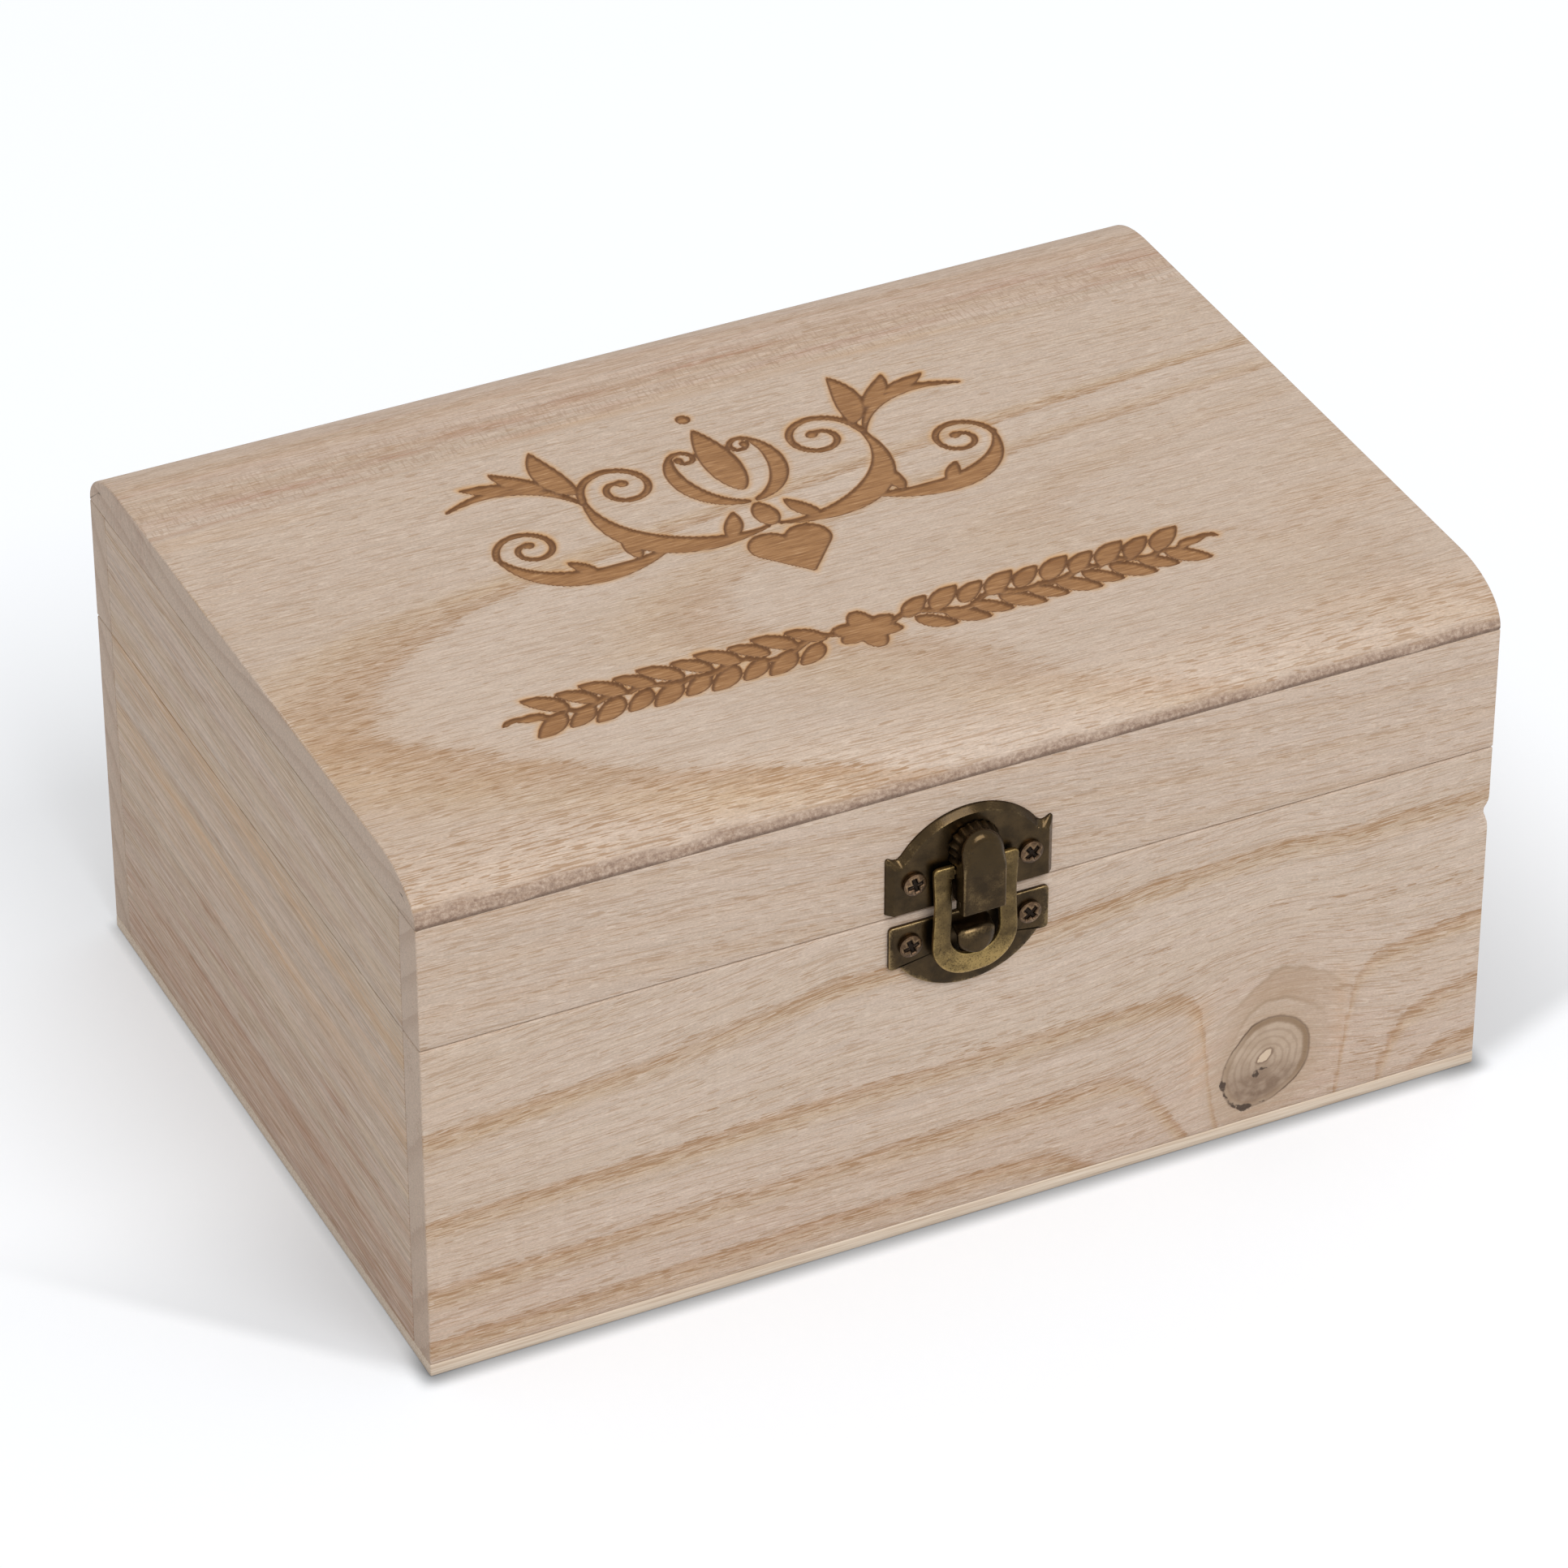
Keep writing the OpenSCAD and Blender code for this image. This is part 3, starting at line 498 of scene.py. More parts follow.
def basswoodPly():
    # Three-ply basswood: pale yellow faces with faint fibres, its plies showing as lines along the edge
    material, tree, output = newMaterial("basswoodPly")
    add = partial(addNode, tree)
    grain = add("Attribute", attribute_name="grain").outputs["Vector"]
    level = add("SeparateXYZ", {0: grain}).outputs["Z"]
    place = add("Mapping", {"Vector": grain, "Scale": (1 / 12, 1 / 0.4, 1 / 0.3)})
    fibre = add("TexNoise", {"Vector": place, "Scale": 1.0, "Detail": 3.0}).outputs["Fac"]
    colour = colourStops(add("ValToRGB", {0: fibre}), [
        (0.3, sheetLook["dark"]), (0.5, sheetLook["face"]), (0.75, sheetLook["pale"])])
    turns = add("Math", {0: level, 1: math.pi * sheetLook["plies"] / sheetLook["thickness"]}, **times)
    line = add("MapRange", {0: add("Math", {0: turns}, operation="SINE"), 1: 0.2, 2: 0.8, 3: 0.0, 4: 0.3})
    colour = add("Mix", {0: line, 6: colour, 7: sheetLook["glue"]}, **rgba)
    shader = add("BsdfPrincipled", {"Base Color": colour, "Roughness": 0.66, "IOR": 1.5, "Specular IOR Level": 0.25})
    tree.links.new(shader.outputs[0], output.inputs["Surface"])
    return material


plySheet = basswoodPly()
print("woods ready")


def boardShell(low, high, along, soft, step, between=None):
    # A round-cornered rectangle carried along the board and drawn in over its ends, first across the flat end,
    # then round its soft edge: p(s, t) = (place(s), section(t) drawn in by draw(s)).
    axes = [i for i in range(3) if i != along]
    half, middle = (high - low)[axes] / 2, (high + low)[axes] / 2
    start, stop = low[along], high[along]
    if between is None:
        between = np.linspace(start + soft, stop - soft, max(3, int((stop - start) / step)))[1:-1]
    place, draw = roundedEnds(start, stop, soft, between)
    flatEnd = np.linspace(half.min(), soft, max(2, int(half.min() / step) + 1))[:-1]
    place = np.pad(place, len(flatEnd), mode="edge")
    draw = np.concatenate([flatEnd, draw, flatEnd[::-1]])

    # round the section: at each corner three points of its quarter circle, then the flat side up to the next corner
    signs = np.array([(1, -1), (1, 1), (-1, 1), (-1, -1), (1, -1)])
    corners, angles = [], []
    for i in range(4):
        run = np.linspace(0, 1, max(2, int(2 * half[1 - i % 2] / step)) + 1)[:-1, None]
        corners += [np.repeat(signs[i:i + 1], 3, 0), signs[i] + (signs[i + 1] - signs[i]) * run]
        angles += [np.linspace(i - 1, i, 4)[:-1], np.full(len(run), i)]
    corners, angles = np.concatenate(corners), np.concatenate(angles) * np.pi / 2
    inner = np.maximum(half - soft - np.maximum(draw - soft, 0)[:, None], 0)
    radius = np.maximum(soft - draw, 0)[:, None, None]
    points = np.zeros((len(place), len(corners), 3))
    points[..., along] = place[:, None]
    points[..., axes] = middle + corners * inner[:, None] + columns(np.cos(angles), np.sin(angles)) * radius
    return points, gridFaces(*points.shape[:2], closeColumns=True), np.repeat(np.clip(draw / soft, 0, 1) ** 2, len(corners))


def bands(value, lines):
    # sum of soft bands: height * exp(-((value - line) / width)^2) for (line, width, height)
    return sum(height * np.exp(-((value - line) / width) ** 2) for line, width, height in lines)


def lineHeights(lines, x):
    # each line sampled every half millimetre, smoothed over 3 mm, and read back at x
    at = np.arange(-110, 110.1, 0.5)
    kernel = np.hanning(9) / np.hanning(9).sum()
    heights = []
    for corners in lines:
        raw = np.interp(at, *zip(*corners))
        heights.append(np.interp(x, at, np.convolve(np.pad(raw, 4, mode="edge"), kernel, mode="valid")))
    return np.stack(heights)


frontLines = [
    # height of each dark ring line on the base's front, as (x, z) in mm; the last one lies above the board
    [(-100, 8.0), (-20, 9.3), (6.7, 9.3), (16, 8), (24, 4), (33, -4), (45, -9), (70, -9), (80, -4), (86.7, 4), (92, 7.3),
     (100, 9.3)],
    [(-100, 18.6), (-40, 20.4), (0, 20.8), (26.7, 21.3), (32, 19.6), (36, 14.7), (41, 6.7), (46, -2), (52, -7), (73, -7),
     (79, -1), (82.7, 12), (86, 17), (92, 19.3), (100, 20.7)],
    [(-100, 32.8), (-40, 34.3), (20, 35.3), (33, 34.9), (41, 34.4), (45.2, 30), (45.8, 20), (46.6, 13), (49, 2), (51, -6),
     (70, -4), (72.5, 6), (74, 22), (75.6, 28), (79, 31.3), (88, 33), (100, 34)],
    [(-100, 50.7), (-60, 53.5), (-40, 56.3), (-25, 58.4), (14.7, 58), (33, 60), (60, 61), (73, 59.3), (100, 60)],
    [(-100, 88), (100, 88)],
]


def ringBelow(heights, z, reach=13.0):
    # Ring number k + 1 - d / reach under line k + 1, where d is the distance down from it and counts up to 0.97 reach,
    # so each dark band is as thick everywhere.
    ring = 1 - np.clip((heights[0] - z) / reach, 0, 0.97)
    for k, (low, high) in enumerate(zip(heights, heights[1:])):
        ring = np.where((z >= low) & (high > low), k + 2 - np.clip((high - z) / reach, 0, 0.97), ring)
    return ring


def frontFigure(p):
    # The dark lines dive under the knot; the fibres bulge over it, v = z - 7 exp(-((x - 58) / 20)^2 - ((z - 25) / 18)^2),
    # and follow the top line above.
    x, y, z = p.T
    heights = lineHeights(frontLines, x)
    ring = ringBelow(heights, z + 1.1 * (y + halfDepth))
    bulge = 7 * np.exp(-((x - 58) / 20) ** 2 - ((z - 25) / 18) ** 2)
    grain = columns(x, y, z - bulge - (heights[3] - 58) * smooth(20, 55, z))
    dive = bands(x, [(44.6, 2.0, 1.0), (72.3, 1.6, 0.7)])
    gold = 0.12 * smooth(-60, -100, x) + 0.55 * dive * smooth(8, 16, z) * smooth(34, 28, z)
    red = bands(x, [(60, 17, 0.2)]) * smooth(50, 30, z) + 0.26 * smooth(38, 6, z)
    show = 1.0 - 0.4 * smooth(3.95, 4.05, ring)
    return {"ring": ring, "grain": grain, "marks": columns(gold, red, show), "habit": (0.35, 0.0, 0.0)}


def lidFrontFigure(p):
    # lines 8.5 mm apart that fall to the right by 0.07, waving by 1.6 mm
    x, y, z = p.T
    level = z + 0.07 * x + 0.9 * (y + halfDepth) + 1.6 * np.sin(x / 37)
    return {"ring": level / 8.5, "grain": columns(x + 320, y, level), "marks": (0.0, 0.06, 0.30), "habit": (0.25, 0.0, 0.0)}


sideStreaks = {
    # gold and red streaks on the side boards: height of each, its half thickness and its strength
    "gold": [(64.6, 3.2, 0.95), (48.6, 1.9, 0.9), (45.5, 4.0, 0.35), (76.0, 2.0, 0.35), (57.0, 1.2, 0.6), (88.0, 3.0, 0.3),
             (38.0, 1.0, 0.5)],
    "red": [(26.8, 1.2, 0.8), (33.9, 0.35, 1.1), (31.0, 3.0, 0.35), (6.0, 12.0, 0.75), (16.0, 1.6, 0.7), (21.0, 0.8, 0.5),
            (41.5, 0.5, 0.5), (71.5, 0.5, 0.5), (82.0, 2.0, 0.25)],
}


def sideFigure(sign, shift):
    # straight grain that rises to the back by 0.045, its streaks 2.5 times as long
    def figure(p):
        x, y, z = p.T
        level = z - y * 0.045 + 0.8 * sign * (x - sign * halfWidth)
        gold, red = (bands(level, sideStreaks[key]) for key in ("gold", "red"))
        return {"ring": level / 9.0 + 0.3 * np.sin(y / 55), "grain": columns((y + shift) / 2.5, x, level + shift),
                "marks": columns(gold, red, 0.35), "habit": (1.0, 0.0, 0.0)}
    return figure


def backFigure(shift):
    # plain lines 11 mm apart that dip by 5 mm near the middle
    def figure(p):
        x, y, z = p.T
        level = z + bands(x, [(-30, 60, 5)]) - 1.2 * (y - halfDepth) + 0.03 * x
        return {"ring": level / 11.0, "grain": columns(x + shift, y, level + shift),
                "marks": columns(0.0, bands(level, [(40, 2, 0.3)]), 0.8), "habit": (0.5, 0.0, 0.0)}
    return figure


knotSpot = {"x": 57.9, "z": 14.0, "halfWidth": 8.0, "halfHeight": 9.6, "size": 8.8, "lean": 36}


def knotField(p):
    # knot: mm outside the knot's leaning oval, outside its crack and star, outside the pith.
    # tone: how brown the band is, how dark the inside is, how dark the rim's line is.
    # arcs: mm outside the near arc, which runs 1.4 mm off at the left and 3.6 mm over the top, outside the far one,
    # 6.4 and 9.2 mm off, and how strong they are. quiet: 1 at the knot, 0 at 15 mm from it.
    x, z = p[:, 0] - knotSpot["x"], p[:, 2] - knotSpot["z"]
    lean = math.radians(knotSpot["lean"])
    a, b = x * math.cos(lean) - z * math.sin(lean), x * math.sin(lean) + z * math.cos(lean)
    turned = np.mod(np.arctan2(b, a), 2 * np.pi)
    wave = 1 + 0.03 * np.sin(3 * turned + 0.6) + 0.015 * np.sin(5 * turned + 2.1)
    rim = (np.hypot(a / knotSpot["halfWidth"], b / knotSpot["halfHeight"]) / wave - 1) * knotSpot["size"]

    # the crack follows the rim along the foot, with two blobs; the star and the pith sit near the middle
    blobs = bands(turned, [(4.07, 0.09, 0.5), (4.92, 0.12, 0.5)])
    thick = (0.14 + 0.12 * np.sin(turned * 23.0) ** 2 + blobs) * smooth(3.5, 3.8, turned) * smooth(5.5, 5.2, turned)
    crack = np.where(thick > 0.02, np.abs(rim + 0.1) - thick, 3.0)
    star = np.hypot((x + 0.7) * 0.6 + 0.3 * (z + 1.3), z + 1.3) - 0.42
    star = np.minimum(star, np.hypot(x + 1.9, (z + 2.2) * 0.7) - 0.62)
    px, pz = x + 0.2, z - 1.2
    pith = np.hypot((px * 0.77 + pz * 0.64) / 1.7, (pz * 0.77 - px * 0.64) / 0.95) - 1.0

    theta = np.arctan2(z, x)
    brown = 0.28 + 0.42 * smooth(-0.2, 0.5, np.cos(theta - 0.75))
    dark = smooth(3.5, -6.5, z + 0.15 * x) * smooth(0.5, -2.5, rim)
    line = np.clip(bands(theta, [(2.2, 0.45, 1.0), (-0.85, 0.35, 1.0)]) + 0.3, 0, 1)
    near, far = rim - 3.6 + 2.2 * smooth(1.5, 2.5, theta), rim - 9.2 + 2.8 * smooth(1.4, 2.0, theta)
    return {"knot": columns(rim, np.minimum(crack, star), pith), "tone": columns(brown, dark, line),
            "arcs": columns(near, far, bands(theta, [(1.45, 0.75, 1.0)])), "quiet": smooth(15, 2, rim)}


chip = {"place": (100.0, -71.0, 54.0), "toward": (-0.75, 0.66, 0.0), "size": 1.3, "depth": 0.9}


def chipAway(points):
    # a small chip out of the right front edge: points near it are pulled in by depth * exp(-(r / size)^2)
    r = np.linalg.norm((points - chip["place"]) * [1, 1, 0.8], axis=-1)
    return points + np.array(chip["toward"]) * bands(r, [(0, chip["size"], chip["depth"])])[..., None]


boards = {
    # soft: radius of the broken edges; step: spacing of the figure's grid
    "base_front_board": {"body": "base", "along": 0, "soft": 0.35, "step": 0.9, "figure": frontFigure},
    "base_back_board": {"body": "base", "along": 0, "soft": 0.35, "step": 2.5, "figure": backFigure(640)},
    "base_left_board": {"body": "base", "along": 1, "soft": 0.2, "step": 2.5, "figure": sideFigure(-1, 1200)},
    "base_right_board": {"body": "base", "along": 1, "soft": 0.2, "step": 2.5, "figure": sideFigure(1, 1730)},
    "lid_front_board": {"body": "lid", "along": 0, "soft": 0.3, "step": 2.5, "figure": lidFrontFigure},
    "lid_back_board": {"body": "lid", "along": 0, "soft": 0.3, "step": 2.5, "figure": backFigure(905)},
    "lid_left_board": {"body": "lid", "along": 1, "soft": 0.2, "step": 2.5, "figure": sideFigure(-1, 1200)},
    "lid_right_board": {"body": "lid", "along": 1, "soft": 0.2, "step": 2.5, "figure": sideFigure(1, 1730)},
}

for node, form in boards.items():
    low, high = nodeBox(node)
    soft, knotty, between = form["soft"], node == "base_front_board", None
    if knotty:
        # rows every 0.8 mm round the knot
        between = np.concatenate([np.linspace(low[0] + soft, 38, 60)[1:-1], np.arange(38, 80, 0.8),
                                  np.linspace(80, high[0] - soft, 12)[:-1]])
    points, faces, ends = boardShell(low, high, form["along"], soft, form["step"], between)
    if knotty:
        points = chipAway(points)
    flat = points.reshape(-1, 3)
    values = form["figure"](flat) | {"endGrain": ends} | (knotField(flat) if knotty else {})
    makePiece(node.replace("_", "-"), form["body"], knottyWood if knotty else plainWood,
              [(points, faces)], [node], 50, values)

points, faces, ends = boardShell(*nodeBox("base_bottom_sheet"), 0, 0.25, 6.0)
makePiece("base-bottom-sheet", "base", plySheet, [(points, faces)], ["base_bottom_sheet"], 50,
          {"grain": points.reshape(-1, 3), "endGrain": ends})
print("boards ready")


top = {
    # edgeRun: how far the rounding runs in; fineStep: grid over the engraving, which lies within fineX and fineY;
    # depth and wall of the cut; middle: x of the engraving's middle line; upper and lower: where its ornaments start,
    # measured from the front; reach: how far out the distance to it is worked out
    "edgeRun": 14.0, "soft": 0.35, "fineStep": 0.5, "fineX": (-68.0, 64.5), "fineY": (-43.5, 43.5),
    "depth": 0.4, "wall": 0.35, "middle": -1.8, "upper": 67.6, "lower": 28.9, "reach": 4.0,
}


def stroke(path, width, swell=1.0, thin=0.25, count=90):
    # a pen stroke: discs along a cubic curve, radius = width / 2 * (thin + (1 - thin) * sin(pi t)^swell)
    t = np.linspace(0, 1, count)[:, None]
    a, b, c, d = (np.array(q, float) for q in path)
    centre = (1 - t) ** 3 * a + 3 * (1 - t) ** 2 * t * b + 3 * (1 - t) * t ** 2 * c + t ** 3 * d
    return centre, width / 2 * (thin + (1 - thin) * np.sin(np.pi * t[:, 0]) ** swell)


def scroll(middle, start, turns, radiusFrom, radiusTo, widthFrom, widthTo, count=160):
    # a spiral: its radius falls evenly in t^0.8 and its width in t while the angle turns, closed by a small round end
    t = np.linspace(0, 1, count)
    angle = math.radians(start) + 2 * np.pi * turns * t
    r = radiusFrom + (radiusTo - radiusFrom) * t ** 0.8
    radius = np.where(t > 0.97, widthTo * 0.95, (widthFrom + (widthTo - widthFrom) * t) / 2)
    return np.array(middle) + columns(r * np.cos(angle), r * np.sin(angle)), radius


def leaf(root, direction, length, width, bend=0.25, count=40):
    # a pointed leaf: its middle line bows sideways by bend * length * t (1 - t),
    # radius = width / 2 * sin(pi t^0.8)^0.85 + 0.08
    t = np.linspace(0, 1, count)
    along = np.array([math.cos(math.radians(direction)), math.sin(math.radians(direction))])
    across = np.array([-along[1], along[0]])
    centre = np.array(root) + length * (t[:, None] * along + bend * (t * (1 - t))[:, None] * across)
    return centre, width / 2 * np.sin(np.pi * t ** 0.8) ** 0.85 + 0.08


def upperOrnament():
    # one half of a mirrored scroll, x from the middle line outwards
    return [
        stroke([(1.2, 4.0), (16, 0.5), (29, 9), (26.5, 25)], 5.4, 1.3, 0.16),
        scroll((18.9, 25.6), -5, 1.35, 7.7, 1.6, 1.5, 1.1),
        stroke([(17, 6.6), (30, -1), (45, 2), (47.2, 14.5)], 4.6, 1.2, 0.18),
        scroll((40.9, 14.8), -3, 1.3, 6.3, 1.4, 1.3, 1.0),
        stroke([(27.0, 24), (31, 33), (39, 36), (49, 31.5)], 2.6, 1.2, 0.3),
        leaf((26.5, 27.5), 82, 15.5, 5.0, -0.35), leaf((30.5, 31.5), 48, 11, 3.6, -0.3),
        leaf((35.5, 34.2), 18, 9.5, 3.0, -0.2), leaf((0.0, 16.5), 90, 21.0, 6.4, 0.0),
        stroke([(0.9, 12.6), (8.6, 14.5), (11.2, 25), (7.6, 30.6)], 3.4, 0.9, 0.32),
        scroll((5.4, 29.3), 32, 0.95, 2.6, 0.9, 1.1, 0.9),
        stroke([(0.0, 41.0), (0.0, 41.1), (0.0, 41.2), (0.0, 41.3)], 2.6, 0.1, 0.9, 8),
        leaf((0.0, 4.6), 90, 7.0, 4.4, 0.0), leaf((8.6, 3.6), 118, 8.0, 3.2, 0.2),
        leaf((33.5, 1.9), 62, 7.5, 2.8, 0.25), leaf((25.0, 4.8), 84, 6.5, 2.8, 0.2),
    ]


def lowerOrnament():
    # one half of a garland: a waving stem with pairs of leaves along it, and a small flower in the middle
    half = [stroke([(4.5, 7), (12, 12.5), (14, 1.5), (21, 7)], 1.5, 0.5, 0.7)]
    for i in range(4):
        x, bow = 21 + i * 11.4, -2.94 if i % 2 else 2.94
        half.append(stroke([(x, 7), (x + 3.8, 7 + bow), (x + 7.6, 7 - bow), (x + 11.4, 7)], 1.4, 0.5, 0.7))
    for i in range(10):
        x, size = 7.6 + i * 5.25, 1.0 if i % 2 else 0.88
        half += [leaf((x + away, y), turned, 8.2 * size, 3.9 * size, bend)
                 for away, y, turned, bend in ((0, 7.4, 38, 0.25), (1.4, 6.6, -38, -0.25))]
    half.append(leaf((59.0, 7), 4, 5.2, 2.2, 0.1))
    return half + [leaf((0.4, 7), turned, 5.6, 3.8, 0.0) for turned in (90, -90, 22, -22)]


def discDistance(x, y, discs):
    # signed distance to the nearest disc edge, stroke by stroke over the part of the grid it can reach
    distance = np.full(x.shape, top["reach"])
    spot = columns(x, y)
    for centre, radius in discs:
        near = ((spot > centre.min(axis=0) - 6) & (spot < centre.max(axis=0) + 6)).all(axis=1)
        if near.any():
            away = np.linalg.norm(spot[near][:, None] - centre, axis=-1) - radius
            distance[near] = np.minimum(distance[near], away.min(axis=1))
    return distance


heart = {"width": 15.2, "height": 14.3, "lobe": 4.1, "x": -1.8, "y": -8.3}


def heartDistance(x, y):
    # union of two lobes and the four-sided body below them, each by its own signed distance
    px, py = np.abs(x - heart["x"]), y - heart["y"]
    cx, cy, r = heart["width"] / 2 - heart["lobe"], heart["height"] / 2 - heart["lobe"], heart["lobe"]
    lobes = np.hypot(px - cx, py - cy) - r
    tipY = -heart["height"] / 2
    fall = math.hypot(cx, cy - tipY)
    angle = math.atan2(cy - tipY, cx) - math.asin(r / fall)
    side = px * math.sin(angle) - (py - tipY) * math.cos(angle)
    touch = math.sqrt(fall ** 2 - r ** 2)
    tx, ty = touch * math.cos(angle), tipY + touch * math.sin(angle)
    shoulder = ((px - cx) * -(ty - cy) + (py - cy) * (tx - cx)) / math.hypot(tx - cx, ty - cy)
    return np.minimum(lobes, np.maximum(side, np.where(px < cx, py - cy, shoulder)))


def burnDistance(x, y):
    # x and y in mm in the part's frame; both ornaments are mirrored about the engraving's middle line
    distance = np.minimum(heartDistance(x, y), top["reach"])
    for ornament, start in ((upperOrnament(), top["upper"]), (lowerOrnament(), top["lower"])):
        discs = discDistance(np.abs(x - top["middle"]), y + halfDepth - start, ornament)
        distance = np.minimum(distance, discs)
    return distance


def closerWithin(start, stop, span, before, after):
    # places every fineStep over the span, and a few between it and both ends
    inside = np.arange(span[0], span[1] + 0.01, top["fineStep"])
    return np.concatenate([np.linspace(start, inside[0], before)[1:-1], inside, np.linspace(inside[-1], stop, after)[1:-1]])


def topShell(low, high):
    # The section, flat below and with a quarter ellipse in front and behind, carried along x. Its ends are rounded and close
    # towards a line at its middle height.
    soft, run, height = top["soft"], top["edgeRun"], high[2] - low[2]
    edge = high[1] - run
    turn = np.linspace(0, np.pi / 2, 17)
    back = columns(edge + run * np.cos(turn), low[2] + soft + (height - soft) * np.sin(turn))
    turn = np.linspace(0, np.pi / 2, 4)[:-1]
    section = np.concatenate([
        columns(low[1] + soft - soft * np.sin(turn), low[2] + soft - soft * np.cos(turn)), back * [-1, 1],
        columns(closerWithin(-edge, edge, top["fineY"], 9, 9), high[2]), back[::-1],
        columns(high[1] - soft + soft * np.cos(turn), low[2] + soft - soft * np.sin(turn)),
        columns(np.linspace(high[1] - soft, low[1] + soft, 60)[:-1], low[2]),
    ])
    place, draw = roundedEnds(low[0], high[0], soft, closerWithin(low[0] + soft, high[0] - soft, top["fineX"], 13, 14))
    # the section runs clockwise, so its normals point inwards
    rows = section + draw[:, None, None] * outwardNormals(section)
    inward = columns(section[:, 0] * 0.93, (low[2] + high[2]) / 2)
    caps = inward + (rows[0] - inward) * np.array([0.0, 0.25, 0.5, 0.75])[:, None, None]
    rows = np.concatenate([caps, rows, caps[::-1]])
    points = columns(np.pad(place, len(caps), mode="edge")[:, None], rows[..., 0], rows[..., 1])
    ends = np.pad(draw / soft, len(caps), constant_values=1.0) ** 2
    return points, gridFaces(*rows.shape[:2], closeColumns=True), np.repeat(ends, len(section))


topLines = [
    # lines along the back of the top, as (x, y) in mm: the upper and the lower red one, the hindmost red one, the pale edge
    [(-100, 46), (-60, 47.5), (-40, 50), (0, 53), (30, 54.5), (60, 54), (100, 51.5)],
    [(-100, 42), (-30, 45), (0, 48), (40, 48.6), (100, 46.5)],
    [(-100, 57), (0, 60), (100, 58)],
    [(-100, 42.2), (-30, 43.8), (0, 45.2), (25, 45.0), (60, 43.2), (100, 42.2)],
]


def topFigure(p):
    # A cathedral: rings open to the right from an apex at the left, x = apex + arm(|y - axis|), each arm by its own
    # curve, and crowd outside it; straight red and gold streaks with rays along the back, arcs on the ends, and a
    # scuffed strip under the front with a painted shade line along its lower edge.
    x, y, z = p.T
    along = y + (z - 99.8) * 0.5 * np.sign(-y)
    away = along + 29 + 0.015 * x
    upperArm = np.interp(away, [0, 7, 14, 21, 26, 30, 35.5, 38, 46, 60, 90], [0, 3, 8, 18, 28, 43, 78, 96, 165, 330, 700])
    lowerArm = np.interp(-away, [0, 4, 9, 16, 23, 29, 33, 42, 60], [0, 3, 8, 18, 28, 38, 48, 75, 150])
    level = x + 88 - np.where(away > 0, upperArm, lowerArm)
    outside = np.interp(level, [-40, -24, -13, -2, 0], [-0.45, -0.28, -0.17, -0.09, 0])
    cathedral = 3 + np.where(level > 0, level / (73 + 10 * np.sin(y / 9)), outside)
    redUpper, redLower, redBack, paleEdge = lineHeights(topLines, x)
    behind = y - paleEdge
    back = smooth(-1.0, 0.5, behind)
    ring = np.where(back > 0.5, 8.0 + behind / 9.0, cathedral)
    ring = np.where(np.abs(x) > 99.7, (z - 91.6) / 5.2 + 0.9 * np.cos((y - 20) / 42) + 0.25 * np.sin(y / 13), ring)

    red = bands(y, [(redUpper, 0.75, 0.9), (redLower, 0.45, 0.7), (redBack, 1.2, 0.3), (redUpper + 1.8, 0.4, 0.4)])
    red = np.clip(red + 0.22 * smooth(44, 50, y), 0, 1)
    front = smooth(-56, -63, y) * (0.35 + 0.55 * smooth(-10, -60, x) + 0.3 * smooth(20, 80, x))
    tip = smooth(14, -8, level) * smooth(-8, -40, x) * smooth(34, 4, np.abs(y + 33))
    patch = np.exp(-((x - 90) / 13) ** 2 - ((y + 33) / 6) ** 2)
    gold = bands(behind, [(1.0, 0.8, 0.9)]) * smooth(-70, 0, x) * smooth(90, 40, x)
    gold = gold + 0.35 * tip + 0.3 * smooth(-62, -80, x) * smooth(3, 1, np.abs(y - 39)) + 0.14 * front + 0.3 * patch
    inFront = back < 0.5
    show = np.clip(1.0 - 0.35 * smooth(3.3, 3.8, ring) * inFront - 0.6 * back, 0, 1)
    show = show * np.where((ring > 4.1) & inFront, 0.45, 1.0)

    grain = columns(x + 2100, y + 0.02 * level * inFront, z * 0.6)
    rays = smooth(-0.5, 0.8, behind) * smooth(15, 8, behind) * 0.9
    low = z + 0.4 * np.sin(x / 3.1) * np.sin(x / 11)
    # the scuffed strip, and 1 more below about z 92 for a painted shade line along the board's lower front edge
    scuffedAndShaded = (smooth(94.3, 93.5, low - 0.9 * smooth(-20, -90, x)) + smooth(92.5, 91.9, low)) * (y < -60)
    dashes = np.clip(0.9 * front + 0.75 * tip + 0.7 * patch, 0, 1)
    return {"ring": ring, "grain": grain, "marks": columns(gold, red, show),
            "habit": columns(0.2 + 0.5 * back, rays, scuffedAndShaded), "dashes": dashes}


low, high = nodeBox("lid_top_board")
points, faces, ends = topShell(low, high)
flat = points.reshape(-1, 3)
burn = np.full(len(flat), top["reach"])
onTop = (flat[:, 2] > high[2] - 0.01) & (np.abs(flat[:, 0]) < 72) & (np.abs(flat[:, 1]) < 45)
burn[onTop] = burnDistance(flat[onTop, 0], flat[onTop, 1])
flat[:, 2] -= np.where(onTop, top["depth"] * smooth(0.02, -top["wall"], burn), 0)
makePiece("lid-top-board", "lid", engravedWood, [(flat, faces)], ["lid_top_board"], 60,
          topFigure(flat) | {"endGrain": ends, "burn": burn})
print("top board ready")


